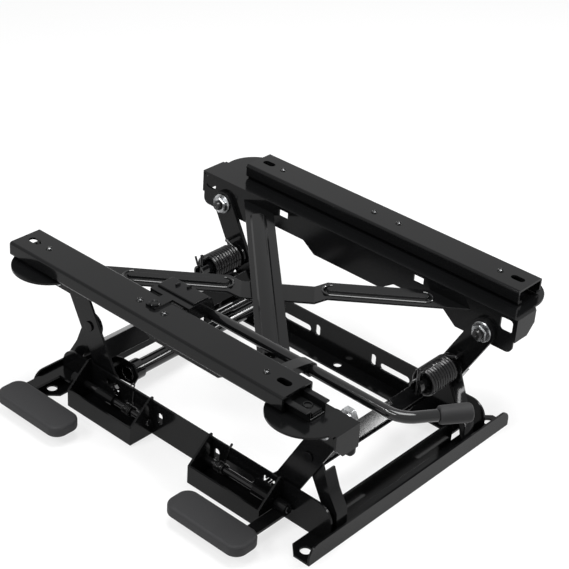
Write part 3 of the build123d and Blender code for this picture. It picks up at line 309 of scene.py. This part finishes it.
def moulded_plastic(name, colour, grain_scale, depth, roughness):
    """Fine spark-eroded grain with a faint flow cloud."""
    shader = Shader(name)
    cloud = shader.noise(30.0, 3.0)
    grain = shader.cells(grain_scale)
    fine = shader.noise(grain_scale * 1.7, 2.0)
    return shader.finish(
        Base_Color=shader.tint(cloud * 0.6 + fine * 0.4, lighter(colour, 0.86), lighter(colour, 1.14)),
        Roughness=(cloud * 0.1 + fine * 0.12 + (roughness - 0.1)).clamp(),
        Specular_IOR_Level=PLASTIC_SHINE,
        Normal=shader.bump(grain * 0.6 + fine * 0.4, depth, 0.7),
    )


MATERIALS = {}


def make_materials(scene):
    """One material for each slot of the record, and a glossier coat for the round bars."""
    coat, bright, moulded = scene.adjuster_coat, scene.adjuster_bright, scene.adjuster_moulded
    black, rail = tuple(coat.colour), tuple(coat.rail_colour)
    MATERIALS["black_frame"] = coated_steel("black_coat", black, coat.roughness, FRAME_SHINE)
    MATERIALS["polished_bar"] = coated_steel("bar_coat", black, coat.roughness - BAR_SMOOTHER, BAR_SHINE)
    MATERIALS["black_rail"] = coated_steel("rail_coat", rail, coat.roughness - RAIL_SMOOTHER, RAIL_SHINE)
    MATERIALS["bright_zinc"] = zinc_plate("zinc_plate", tuple(bright.zinc))
    MATERIALS["spring_steel"] = spring_wire("spring_wire", tuple(bright.spring))
    MATERIALS["pedal_plastic"] = moulded_plastic("pad_plastic", tuple(moulded.pad), 900.0, 0.00010, 0.62)
    MATERIALS["grip_rubber"] = moulded_plastic("grip_rubber", tuple(moulded.grip), 1200.0, 0.00008, 0.60)
    MATERIALS["roller_steel"] = zinc_plate("roller_steel", ROLLER_STEEL)


# Modelling helpers

MERGE = 0.00001
SMOOTH_BELOW = 32.0
FLAT_BELOW = 0.5
UP = (0, 0, 1)
TO_THE_RIGHT = (0, -1, 0)


def millimetres(values):
    """Lengths in millimetres as the metres that Blender works in."""
    return [value * MM for value in values]


def deselect():
    if bpy.context.object and bpy.context.object.mode != "OBJECT":
        bpy.ops.object.mode_set(mode="OBJECT")
    bpy.ops.object.select_all(action="DESELECT")


def choose(obj):
    deselect()
    obj.select_set(True)
    bpy.context.view_layer.objects.active = obj


def pick_vertices(piece, test):
    """Stay in edit mode with the vertices selected whose place passes the test."""
    bpy.ops.object.mode_set(mode="EDIT")
    bpy.ops.mesh.select_mode(type="VERT")
    bpy.ops.mesh.select_all(action="DESELECT")
    bpy.ops.object.mode_set(mode="OBJECT")
    for vertex in piece.data.vertices:
        vertex.select = test(vertex.co)
    bpy.ops.object.mode_set(mode="EDIT")


def dress(piece, name, node, slot=None, finish=None):
    """Name a finished piece, give it its slot's material and let it ride with its body."""
    piece.name = name
    piece.data.name = name
    slot = slot or SLOT_OF[node]
    piece.data.materials.clear()
    piece.data.materials.append(MATERIALS[finish or slot])
    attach(piece, BODY_OF[node])
    return piece


def edge_round(piece, radius, segments=2, angle=35.0):
    """Round the edges that are sharper than the angle, with the radius in metres."""
    choose(piece)
    bevel = piece.modifiers.new("edges", "BEVEL")
    bevel.width = radius
    bevel.segments = segments
    bevel.limit_method = "ANGLE"
    bevel.angle_limit = math.radians(angle)
    bevel.use_clamp_overlap = True
    bevel.harden_normals = False
    bpy.ops.object.modifier_apply(modifier="edges")


def seated(piece):
    """Put a piece's place into its mesh, so that its object sits at the origin."""
    choose(piece)
    bpy.ops.object.transform_apply(location=True, rotation=True, scale=True)
    return piece


def joined(pieces):
    """One piece out of several that touch."""
    choose(pieces[0])
    for piece in pieces:
        piece.select_set(True)
    bpy.ops.object.join()
    return bpy.context.object


def copies(pattern, places):
    """Copies of a pattern that stands at the origin, each with a mesh of its own."""
    made = []
    for place in places:
        choose(pattern)
        bpy.ops.object.duplicate()
        bpy.ops.transform.translate(value=millimetres(place))
        made.append(seated(bpy.context.object))
    return made


def clear_away(patterns):
    """Patterns go once their copies are made."""
    for pattern in patterns:
        choose(pattern)
        bpy.ops.object.delete()


def block(low, high, radius, segments=2):
    """A plate or bar between two corners with its edges rounded, in millimetres."""
    low, high = millimetres(low), millimetres(high)
    deselect()
    middle = [(a + b) / 2 for a, b in zip(low, high)]
    bpy.ops.mesh.primitive_cube_add(size=1, location=middle)
    piece = bpy.context.object
    piece.scale = [b - a for a, b in zip(low, high)]
    seated(piece)
    edge_round(piece, radius * MM, segments)
    return piece


def turned(steps, place, axis, sides):
    """A turned part from its seat outwards: pairs of height and radius, in millimetres."""
    steps = [millimetres(step) for step in steps]
    start, radius = steps[0]
    deselect()
    bpy.ops.mesh.primitive_circle_add(vertices=sides, radius=radius, fill_type="NGON", location=(0, 0, start))
    piece = seated(bpy.context.object)
    bpy.ops.object.mode_set(mode="EDIT")
    bpy.ops.mesh.select_all(action="SELECT")
    bpy.ops.mesh.duplicate()
    for (back, _), (along, wide) in zip(steps, steps[1:]):
        bpy.ops.mesh.extrude_region_move(TRANSFORM_OT_translate={"value": (0, 0, along - back)})
        bpy.ops.transform.resize(value=(wide / radius, wide / radius, 1), center_override=(0, 0, along))
        radius = wide
    bpy.ops.mesh.select_all(action="SELECT")
    bpy.ops.mesh.remove_doubles(threshold=MERGE)
    bpy.ops.mesh.normals_make_consistent(inside=False)
    bpy.ops.object.mode_set(mode="OBJECT")
    piece.rotation_euler = Vector(axis).to_track_quat("Z", "Y").to_euler()
    piece.location = millimetres(place)
    return seated(piece)


def wire(points, radius, order=3):
    """A bent wire with closed ends, in millimetres; order 2 keeps it straight between its points."""
    deselect()
    curve = bpy.data.curves.new("wire", "CURVE")
    curve.dimensions = "3D"
    curve.bevel_depth = radius * MM
    curve.bevel_resolution = 3
    curve.use_fill_caps = True
    spline = curve.splines.new("NURBS")
    spline.points.add(len(points) - 1)
    for point, place in zip(spline.points, points):
        point.co = (*millimetres(place), 1)
    spline.order_u = min(order, len(points))
    spline.use_endpoint_u = True
    spline.resolution_u = 6
    piece = bpy.data.objects.new("wire", curve)
    bpy.context.collection.objects.link(piece)
    choose(piece)
    bpy.ops.object.convert(target="MESH")
    return bpy.context.object


def smoothed(piece, name, node, slot=None, finish=None):
    """Smooth shading that leaves the flats flat, then the name, finish and body."""
    choose(piece)
    bpy.ops.object.shade_smooth_by_angle(angle=math.radians(SMOOTH_BELOW))
    level = piece.modifiers.new("flats", "WEIGHTED_NORMAL")
    level.keep_sharp = True
    bpy.ops.object.modifier_apply(modifier="flats")
    return dress(piece, name, node, slot, finish)


def softened(node, radius, segments=2, angle=35.0, slot=None, reshape=None, finish=None):
    """A copy of a CAD node with its sheared edges rounded, which stands in for it."""
    choose(NODES[node])
    bpy.ops.object.duplicate()
    piece = bpy.context.view_layer.objects.active
    for key in [key for key in piece.keys() if key.startswith("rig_")]:
        del piece[key]
    bpy.ops.object.parent_clear(type="CLEAR_KEEP_TRANSFORM")
    bpy.ops.object.mode_set(mode="EDIT")
    bpy.ops.mesh.select_all(action="SELECT")
    bpy.ops.mesh.remove_doubles(threshold=MERGE)
    bpy.ops.mesh.dissolve_limited(angle_limit=math.radians(FLAT_BELOW))
    bpy.ops.object.mode_set(mode="OBJECT")
    if reshape:
        reshape(piece)
    if radius:
        edge_round(piece, radius, segments, angle)
    smoothed(piece, node + "_finished", node, slot, finish)
    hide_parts(node)
    return piece


# One operator for each piece or group of like pieces


class ADJUSTER_OT_base(bpy.types.Operator):
    """Finish the base tray, its uprights and the rear tube"""

    bl_idname = "adjuster.base"
    bl_label = "Base tray"

    def execute(self, context):
        edge = context.scene.adjuster_coat.edge
        for node in ("base_front", "base_rear", "base_side_left", "base_side_right", "tube_bracket",
                     "upright_front_left", "upright_front_right", "upright_rear_left", "upright_rear_right",
                     "lock_box_front", "lock_box_rear"):
            softened(node, edge)
        softened("rear_cross_tube", edge, finish="polished_bar")
        return {"FINISHED"}


class ADJUSTER_OT_cranks(bpy.types.Operator):
    """Finish the cranks and the channels that tie them together"""

    bl_idname = "adjuster.cranks"
    bl_label = "Cranks"

    def execute(self, context):
        edge = context.scene.adjuster_coat.edge
        for node in ("crank_front_left", "crank_front_right", "crank_rear_left", "crank_rear_right",
                     "crank_channel_front", "crank_channel_rear"):
            softened(node, edge)
        return {"FINISHED"}


# Braces, in millimetres: x at the ends on the pedal side and on the far side, then the pressed beads

BRACE_LONG_ENDS = (-146.0, 146.0)
BRACE_CROSS_ENDS = (105.0, -140.0)
BRACE_SPAN = 240.0
BRACE_TOP = 161.0
BRACE_ROUND = 1.2
BRACE_ROUND_ANGLE = 20.0
BEAD_HALF_WIDTH = 9.5
BEAD_RISE = 3.4
BEAD_SHIFT = 2.0
BEAD_SHARE = 0.43
BEAD_NOSE = 0.99
BEAD_ROUND = 5.0
RIM_HALF_WIDTH = 10.5
RIM_SHARE = 0.15
RIM_LONGER = 4.0
RIM_MIDDLE = 0.29
RIM_WIRE = 1.4
RIM_STEPS = 24


class ADJUSTER_OT_frame(bpy.types.Operator):
    """Finish the upper frame and its two crossed braces"""

    bl_idname = "adjuster.frame"
    bl_label = "Upper frame"

    def execute(self, context):
        edge = context.scene.adjuster_coat.edge
        softened("side_frame_left", edge)
        softened("side_frame_right", edge)
        softened("brace_long", BRACE_ROUND * MM, 3, BRACE_ROUND_ANGLE)
        softened("brace_cross", edge)
        self.rims("brace_long", BRACE_LONG_ENDS)
        self.broad_bead("brace_cross", BRACE_CROSS_ENDS)
        return {"FINISHED"}

    def brace_line(self, ends):
        """Length and middle of a brace, with the directions along it and across it."""
        near, far = ends
        length = math.hypot(far - near, BRACE_SPAN)
        along = Vector(((far - near) / length, BRACE_SPAN / length, 0))
        return length, (near + far) / 2, along, Vector((-along.y, along.x, 0))

    def broad_bead(self, node, ends):
        """One shallow bead along nearly the whole of the brace that crosses on top."""
        length, middle_x, along, across = self.brace_line(ends)
        middle = Vector((middle_x, 0, 0)) + across * BEAD_SHIFT
        reach = length * BEAD_SHARE
        points = [middle + along * (reach * part) for part in (-1.0, -BEAD_NOSE, BEAD_NOSE, 1.0)]
        piece = wire(points, BEAD_HALF_WIDTH, 2)
        edge_round(piece, BEAD_ROUND * MM, 4, 60.0)
        bpy.ops.transform.resize(value=(1, 1, BEAD_RISE / BEAD_HALF_WIDTH), center_override=(0, 0, 0))
        bpy.ops.transform.translate(value=(0, 0, BRACE_TOP * MM))
        smoothed(seated(piece), f"{node}_bead", node)

    def rims(self, node, ends):
        """Pressed rim round the ends and one side of the bead in each half of a brace."""
        length, middle_x, along, across = self.brace_line(ends)
        straight = length * RIM_SHARE + RIM_LONGER - RIM_HALF_WIDTH
        rims = []
        for end in (-1, 1):
            middle = Vector((middle_x, 0, BRACE_TOP)) + along * (end * length * RIM_MIDDLE)
            points = []
            for step in range(RIM_STEPS + 1):
                angle = 2 * math.pi * step / RIM_STEPS
                cap = straight if math.sin(angle) >= 0 else -straight
                reach = along * (cap + RIM_HALF_WIDTH * math.sin(angle))
                points.append(middle + reach + across * (RIM_HALF_WIDTH * math.cos(angle)))
            rims.append(wire(points, RIM_WIRE, 2))
        smoothed(joined(rims), f"{node}_rims", node, finish="polished_bar")


# Slide rails, in millimetres: middles, how far each is slid, rivet places and the profiles of small parts

RAIL_TOP = 192.8
RAIL_MIDDLE = {"left": 165.8, "right": -165.8}
RAIL_SLID = {"left": 15.8, "right": -26.6}
RIVET_PLACES = (-160.0, -18.0, 18.0, 160.0)
RIVET_RIM = ((0.0, 4.3), (0.25, 4.2), (1.05, 3.5), (1.15, 3.1), (0.75, 2.6), (0.35, 2.2), (0.3, 0.6))
RIVET_SHANK = ((0.2, 1.5), (0.55, 1.45), (0.9, 1.1), (1.0, 0.5))
STOP_START = 172.0
STOP_END = 199.0
STOP_HALF_WIDTH = 7.0
STOP_UNDERSIDE = 179.4
STOP_TOP = 181.4
STOP_FOOT = 176.2
STOP_FOOT_START = 197.0
STOP_HOLE = 187.0
STOP_NECK = ((0.0, 5.6), (0.9, 5.2), (1.5, 4.7), (1.5, 3.9), (0.2, 3.5))


class ADJUSTER_OT_rails(bpy.types.Operator):
    """Finish the slide rails, their rivets and rollers"""

    bl_idname = "adjuster.rails"
    bl_label = "Slide rails"

    def execute(self, context):
        edge = context.scene.adjuster_coat.edge
        for node in ("upper_rail_left", "upper_rail_right", "lower_rail_left", "lower_rail_right"):
            softened(node, edge)
        softened("rail_rollers", edge)
        self.rivets()
        self.end_stops()
        return {"FINISHED"}

    def rivets(self):
        """Dished rivet heads in a pressed ring, each with the bare end of its shank in the dish."""
        head = turned(RIVET_RIM, (0, 0, 0), UP, 32)
        shank = turned(RIVET_SHANK, (0, 0, 0), UP, 20)
        for side, middle in RAIL_MIDDLE.items():
            node = f"rail_rivets_{side}"
            places = [(RAIL_SLID[side] + x, middle, RAIL_TOP) for x in RIVET_PLACES]
            heads = smoothed(joined(copies(head, places)), f"rail_rivet_heads_{side}", node)
            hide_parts(node)
            smoothed(joined(copies(shank, places)), f"rail_rivet_shanks_{side}", node, "bright_zinc")
        clear_away((head, shank))

    def end_stops(self):
        """Tongue with a flanged hole that keeps the slide from leaving the front end of its lower rail."""
        side = STOP_HALF_WIDTH
        plate = block((STOP_START, -side, STOP_UNDERSIDE), (STOP_END, side, STOP_TOP), 0.7)
        foot = block((STOP_FOOT_START, -side, STOP_FOOT), (STOP_END, side, STOP_UNDERSIDE + 0.6), 0.6)
        ring = turned(STOP_NECK, (STOP_HOLE, 0, STOP_TOP), UP, 32)
        stop = joined([plate, foot, ring])
        for name, middle in RAIL_MIDDLE.items():
            tongue = copies(stop, [(0, middle, 0)])[0]
            smoothed(tongue, f"rail_end_stop_{name}", f"lower_rail_{name}")
        clear_away((stop,))


# Pivots, in millimetres: x of the cranks' lower pins and of the top bolts, and the nuts on the far side

PIN_MIDDLES = (164.0, -164.0)
PIN_HEIGHT = 88.0
PIN_HEAD_START = -129.0
PIN_HEAD_REACH = 15.0
PIN_HEAD_SHARE = 0.62
BOLT_MIDDLE = {"front": 194.7, "rear": -194.7}
BOLT_HEIGHT = 145.0
NUT_SEAT = 114.5
NUT_FACE = 107.6
STUD_TIP = 103.0
NUT_FLANGE = ((0.0, 12.4), (1.3, 12.4), (2.0, 11.9), (2.6, 10.2))
NUT_CORNER = 10.6
NUT_ROUND = 0.35
THREAD_RADIUS = 5.8
THREAD_ROOT = 5.0
THREAD_STEP = 1.25
THREAD_RIBS = 3
TANG_MIDDLE = {"front": 164.0, "rear": -164.0}
TANG_LEAN = {"front": 3.0, "rear": -3.0}
TANG_WIRE = 1.3


class ADJUSTER_OT_pivots(bpy.types.Operator):
    """Finish the pivot tubes, pins, bolts, nuts and washers"""

    bl_idname = "adjuster.pivots"
    bl_label = "Pivots"

    def execute(self, context):
        edge = context.scene.adjuster_bright.edge
        softened("pivot_pins", edge, reshape=self.upset)
        for node in ("pivot_spacers", "front_pivot_bolts", "rear_pivot_bolts",
                     "front_right_nut", "rear_right_nut", "front_right_sleeves", "rear_right_sleeves"):
            softened(node, edge)
        for node in ("mandrel_front", "mandrel_rear"):
            softened(node, edge, finish="polished_bar")
        softened("anchor_rods", edge, slot="spring_steel")
        self.nuts()
        self.tangs()
        return {"FINISHED"}

    def upset(self, piece):
        """The pins' outer heads on the pedal side are small, as riveted over."""
        start, reach = millimetres((PIN_HEAD_START, PIN_HEAD_REACH))
        for middle in millimetres(PIN_MIDDLES):
            pick_vertices(piece, lambda place: place.y < start and abs(place.x - middle) < reach)
            centre = (middle, 0, PIN_HEIGHT * MM)
            bpy.ops.transform.resize(value=(PIN_HEAD_SHARE, 1, PIN_HEAD_SHARE), center_override=centre)
        bpy.ops.object.mode_set(mode="OBJECT")

    def nuts(self):
        """Flanged hexagon nuts, each with the threaded end of its stud standing out of it."""
        height = NUT_SEAT - NUT_FACE
        skirt = turned(NUT_FLANGE, (0, 0, 0), TO_THE_RIGHT, 48)
        hexagon = ((0.5, NUT_CORNER), (height - 1.0, NUT_CORNER), (height, 9.2),
                   (height, 6.6), (height - 1.2, 6.0))
        head = turned(hexagon, (0, 0, 0), TO_THE_RIGHT, 6)
        edge_round(head, NUT_ROUND * MM)
        nut = joined([head, skirt])
        stud = turned(self.stud(height), (0, 0, 0), TO_THE_RIGHT, 36)
        for end, x in BOLT_MIDDLE.items():
            node = f"{end}_left_nut"
            places = [(x, NUT_SEAT, BOLT_HEIGHT)]
            flanged = smoothed(copies(nut, places)[0], f"{end}_flange_nut", node)
            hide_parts(node)
            smoothed(copies(stud, places)[0], f"{end}_stud_end", node, "spring_steel")
        clear_away((nut, stud))

    def stud(self, height):
        """Profile of the stud's end: threads above the nut, a chamfer and a centre hole."""
        tip = NUT_SEAT - STUD_TIP
        steps = [(height - 2.0, THREAD_RADIUS)]
        for rib in range(THREAD_RIBS):
            start = height - 1.4 + THREAD_STEP * rib
            steps += [(start, THREAD_ROOT), (start + 0.5, THREAD_RADIUS), (start + 0.75, THREAD_RADIUS)]
        return steps + [(tip - 0.7, 5.1), (tip, 4.4), (tip, 1.6), (tip - 0.5, 1.0)]

    def tangs(self):
        """Split ends of the mandrel pins, bent up beside the lift springs."""
        for end, x in TANG_MIDDLE.items():
            lean = TANG_LEAN[end]
            points = [(x, 49, 96), (x + lean * 0.4, 45, 97), (x + lean, 44.5, 103), (x + lean * 1.6, 44, 109)]
            smoothed(wire(points, TANG_WIRE), f"mandrel_tang_{end}", f"mandrel_{end}", "spring_steel")


# Legs of the pedal springs, in millimetres: where each stands and which way it leans

LEG_MIDDLE = {"front": 58.0, "rear": -84.0}
LEG_LEAN = {"front": 1.0, "rear": -1.0}
LEG_WIRE = 0.8


class ADJUSTER_OT_springs(bpy.types.Operator):
    """Finish the lift springs and the small return springs"""

    bl_idname = "adjuster.springs"
    bl_label = "Springs"

    def execute(self, context):
        for node in ("lift_spring_front", "lift_spring_rear", "pedal_springs", "latch_spring"):
            softened(node, 0)
        for end, x in LEG_MIDDLE.items():
            lean = LEG_LEAN[end]
            rise = [(x, -137.0, 24.0), (x + 2 * lean, -134.2, 33), (x + 3 * lean, -132.2, 45.5)]
            hook = [(x + 3 * lean, -130.6, 48.2), (x + 5.5 * lean, -131.4, 49.2),
                    (x + 6 * lean, -134.4, 47.6), (x + 4.5 * lean, -134.8, 45.2)]
            smoothed(wire(rise + hook, LEG_WIRE), f"pedal_spring_leg_{end}", "pedal_springs")
        return {"FINISHED"}


class ADJUSTER_OT_pedals(bpy.types.Operator):
    """Finish the pedals with their pins, arms and pawls"""

    bl_idname = "adjuster.pedals"
    bl_label = "Pedals"

    def execute(self, context):
        edge = context.scene.adjuster_coat.edge
        for end in ("front", "rear"):
            softened(f"pedal_pin_{end}", edge, slot="spring_steel")
            softened(f"pedal_arm_{end}", edge)
            softened(f"pawl_{end}", edge)
            softened(f"pedal_pad_{end}", 0)
        return {"FINISHED"}


# Latch cover and grip, in millimetres

COVER_TOP = 195.2
COVER_EDGE_ABOVE = 190.0
COVER_EDGE_BEYOND = -101.0
COVER_DRAWN_IN = 11.0
CHANNEL_LOW = (-50.0, -135.5, COVER_TOP)
CHANNEL_HIGH = (3.5, -113.0, 197.6)
CHANNEL_ROUND = 1.1
HOOK_PLACES = ((-34.6, -121.9, 0), (-23.3, -116.5, 0))
HOOK_LOW = (0, -3.0, 197.3)
HOOK_HIGH = (2.4, 3.0, 200.0)
HOOK_ROUND = 0.6
TAB_RIVET_PLACE = (-26.0, -162.5, COVER_TOP)
TAB_RIVET = ((0.0, 6.3), (1.4, 6.2), (2.3, 5.2), (2.4, 4.0), (1.6, 3.0), (1.5, 0.8))
BAR_END = (294.7, -50.0, 172.8)
BAR_END_RUN = (26, 38)
GRIP_LENGTH = 34.0
GRIP_PAST_BAR = 2.0


class ADJUSTER_OT_handle(bpy.types.Operator):
    """Finish the release handle and the latch"""

    bl_idname = "adjuster.handle"
    bl_label = "Handle and latch"

    def execute(self, context):
        edge = context.scene.adjuster_coat.edge
        for node in ("lock_plate", "handle_clip"):
            softened(node, edge)
        softened("handle_bar", edge, finish="polished_bar")
        softened("latch_cover", edge, reshape=self.draw_in)
        channel = block(CHANNEL_LOW, CHANNEL_HIGH, CHANNEL_ROUND, 3)
        smoothed(channel, "latch_cover_channel", "latch_cover")
        hook = block(HOOK_LOW, HOOK_HIGH, HOOK_ROUND)
        smoothed(joined(copies(hook, HOOK_PLACES)), "latch_cover_hooks", "latch_cover")
        clear_away((hook,))
        rivet = turned(TAB_RIVET, TAB_RIVET_PLACE, UP, 36)
        smoothed(rivet, "latch_tab_rivet", "latch_cover")
        self.grip()
        return {"FINISHED"}

    def draw_in(self, piece):
        """The far edge of the cover's top slopes in towards the handle bar."""
        above, beyond = millimetres((COVER_EDGE_ABOVE, COVER_EDGE_BEYOND))
        pick_vertices(piece, lambda place: place.z > above and place.y > beyond)
        bpy.ops.transform.translate(value=(0, -COVER_DRAWN_IN * MM, 0))
        bpy.ops.object.mode_set(mode="OBJECT")

    def grip(self):
        """Soft sleeve on the end of the bar, a little thicker towards its closed end."""
        turn = math.atan2(BAR_END_RUN[1], BAR_END_RUN[0])
        along = (math.cos(turn), math.sin(turn), 0)
        back = GRIP_LENGTH - GRIP_PAST_BAR
        start = [end - back * part for end, part in zip(BAR_END, along)]
        mouth = [(0.0, 6.3), (0.0, 8.2), (0.7, 9.0), (2.0, 9.4), (12.0, 9.6)]
        closed = [(GRIP_LENGTH - 5.0, 10.0), (GRIP_LENGTH - 2.0, 9.4), (GRIP_LENGTH - 0.6, 8.0),
                  (GRIP_LENGTH, 6.0), (GRIP_LENGTH, 1.5)]
        piece = turned(mouth + closed, start, along, 48)
        smoothed(piece, "handle_grip_sleeve", "handle_grip")
        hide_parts("handle_grip")


# Camera, fitted to the photograph, and lamps, in metres and degrees

CAMERA_PLACE = (0.9289, -1.0992, 1.0304)
CAMERA_AZIMUTH = 40.2
CAMERA_LOOK = (-0.5579, 0.6601, -0.5030)
CAMERA_ROLL = 3.9
CAMERA_LENS = 97.14
CAMERA_SHIFT = (0.0084, -0.0404)
SENSOR = 36.0
NEAREST = 0.01
LAMPS_AIM = (0, 0, 0.1)
OVERHEAD = (0.9, 0.9)
SIDE_STRIP = (0.95, 0.30)
SPOT = (0.13, 0.13)
FLOOR_GAP = 0.0002
FLOOR_WHITE = 0.72


class ADJUSTER_OT_stage(bpy.types.Operator):
    """Lay the floor, hang the lamps and stand the camera"""

    bl_idname = "adjuster.stage"
    bl_label = "Stage"

    def execute(self, context):
        settings = context.scene.adjuster_stage
        deselect()
        below = CAD_BOX[0][2] - FLOOR_GAP
        bpy.ops.mesh.primitive_plane_add(size=settings.floor_size, location=(0, 0, below))
        floor = context.object
        floor.name = "floor"
        floor.data.materials.append(self.floor_paint(settings))
        self.lamp("overhead", (0.15, -0.1, 1.75), OVERHEAD, settings.key_power)
        self.lamp("left_side", (-0.15, -1.5, 1.40), SIDE_STRIP, settings.fill_power)
        self.lamp("right_side", (1.0, 1.25, 1.15), SIDE_STRIP, settings.fill_power)
        self.lamp("left_spot", (-0.55, -1.05, 1.55), SPOT, settings.spot_power)
        self.lamp("right_spot", (0.65, 1.25, 1.35), SPOT, settings.spot_power)
        self.room(context.scene, settings)
        self.camera(context.scene)
        context.scene.view_settings.view_transform = "Standard"
        return {"FINISHED"}

    def lamp(self, name, place, panel, power):
        """A soft panel lamp that faces the object."""
        bpy.ops.object.light_add(type="AREA", location=place)
        lamp = bpy.context.object
        lamp.name = name
        lamp.data.shape = "RECTANGLE"
        lamp.data.size, lamp.data.size_y = panel
        lamp.data.energy = power
        lamp.rotation_euler = (Vector(LAMPS_AIM) - Vector(place)).to_track_quat("-Z", "Y").to_euler()

    def floor_paint(self, settings):
        """Pale floor that the camera and glossy rays see as nearly white, with the shadow kept."""
        shader = Shader("floor_paint")
        path = shader.node("ShaderNodeLightPath", {}, {})
        seen = Value(shader, path.outputs["Is Camera Ray"]) + Value(shader, path.outputs["Is Glossy Ray"])
        seen = (seen + Value(shader, path.outputs["Is Transmission Ray"])).clamp()
        cloud = shader.noise(3.0, 2.0)
        pale = tuple(settings.floor_colour)
        tone = shader.tint(cloud, lighter(pale, 0.99), pale)
        paint = shader.node("ShaderNodeBsdfDiffuse", {}, {"Color": tone})
        white = shader.node("ShaderNodeEmission", {}, {"Color": (1, 1, 1, 1), "Strength": 1.0})
        parts = {0: seen * FLOOR_WHITE, 1: paint.outputs[0], 2: white.outputs[0]}
        mix = shader.node("ShaderNodeMixShader", {}, parts)
        shader.tree.links.new(mix.outputs[0], shader.output.inputs[0])
        return shader.material

    def room(self, scene, settings):
        """Even light from all round, behind a background that is seen as white."""
        world = bpy.data.worlds.new("room")
        scene.world = world
        world.use_nodes = True
        tree = world.node_tree
        tree.nodes.clear()
        path = tree.nodes.new("ShaderNodeLightPath")
        seen = path.outputs["Is Camera Ray"]
        for ray in ("Is Glossy Ray", "Is Transmission Ray"):
            most = tree.nodes.new("ShaderNodeMath")
            most.operation = "MAXIMUM"
            tree.links.new(seen, most.inputs[0])
            tree.links.new(path.outputs[ray], most.inputs[1])
            seen = most.outputs[0]
        even = tree.nodes.new("ShaderNodeBackground")
        even.inputs[0].default_value = (1, 1, 1, 1)
        even.inputs[1].default_value = settings.room
        white = tree.nodes.new("ShaderNodeBackground")
        white.inputs[0].default_value = (1, 1, 1, 1)
        mix = tree.nodes.new("ShaderNodeMixShader")
        tree.links.new(seen, mix.inputs[0])
        tree.links.new(even.outputs[0], mix.inputs[1])
        tree.links.new(white.outputs[0], mix.inputs[2])
        out = tree.nodes.new("ShaderNodeOutputWorld")
        tree.links.new(mix.outputs[0], out.inputs[0])

    def camera(self, scene):
        """The photograph's viewing angle, distance and framing."""
        azimuth, roll = math.radians(CAMERA_AZIMUTH), math.radians(CAMERA_ROLL)
        look = Vector(CAMERA_LOOK).normalized()
        right = Vector((math.cos(azimuth), math.sin(azimuth), 0))
        up = right.cross(look)
        right, up = right * math.cos(roll) + up * math.sin(roll), up * math.cos(roll) - right * math.sin(roll)
        bpy.ops.object.camera_add(location=CAMERA_PLACE)
        camera = bpy.context.object
        camera.name = "camera"
        turn = Matrix((right, up, -look)).transposed().to_4x4()
        camera.matrix_world = Matrix.Translation(CAMERA_PLACE) @ turn
        camera.data.lens = CAMERA_LENS
        camera.data.sensor_width = SENSOR
        camera.data.shift_x, camera.data.shift_y = CAMERA_SHIFT
        camera.data.clip_start = NEAREST
        scene.camera = camera


PIECES = (
    ADJUSTER_OT_base,
    ADJUSTER_OT_cranks,
    ADJUSTER_OT_frame,
    ADJUSTER_OT_rails,
    ADJUSTER_OT_pivots,
    ADJUSTER_OT_springs,
    ADJUSTER_OT_pedals,
    ADJUSTER_OT_handle,
    ADJUSTER_OT_stage,
)


class ADJUSTER_PT_panel(bpy.types.Panel):
    """Lists the pieces and their settings"""

    bl_idname = "ADJUSTER_PT_panel"
    bl_label = "Height adjuster"
    bl_space_type = "VIEW_3D"
    bl_region_type = "UI"
    bl_category = "Height adjuster"

    def draw(self, context):
        for group in GROUPS:
            settings = getattr(context.scene, group)
            box = self.layout.box()
            for name in settings.bl_rna.properties.keys():
                if name not in ("rna_type", "name"):
                    box.prop(settings, name)
        for piece in PIECES:
            self.layout.operator(piece.bl_idname)


GROUPS = {
    "adjuster_coat": CoatSettings,
    "adjuster_bright": BrightSettings,
    "adjuster_moulded": MouldedSettings,
    "adjuster_stage": StageSettings,
}


def register():
    for name, group in GROUPS.items():
        bpy.utils.register_class(group)
        setattr(bpy.types.Scene, name, bpy.props.PointerProperty(type=group))
    for piece in PIECES:
        bpy.utils.register_class(piece)
    bpy.utils.register_class(ADJUSTER_PT_panel)


def unregister():
    bpy.utils.unregister_class(ADJUSTER_PT_panel)
    for piece in reversed(PIECES):
        bpy.utils.unregister_class(piece)
    for name, group in reversed(GROUPS.items()):
        delattr(bpy.types.Scene, name)
        bpy.utils.unregister_class(group)


def main():
    register()
    make_materials(bpy.context.scene)
    bpy.ops.adjuster.base()
    bpy.ops.adjuster.cranks()
    bpy.ops.adjuster.frame()
    bpy.ops.adjuster.rails()
    bpy.ops.adjuster.pivots()
    bpy.ops.adjuster.springs()
    bpy.ops.adjuster.pedals()
    bpy.ops.adjuster.handle()
    bpy.ops.adjuster.stage()


if __name__ == "__main__":
    main()
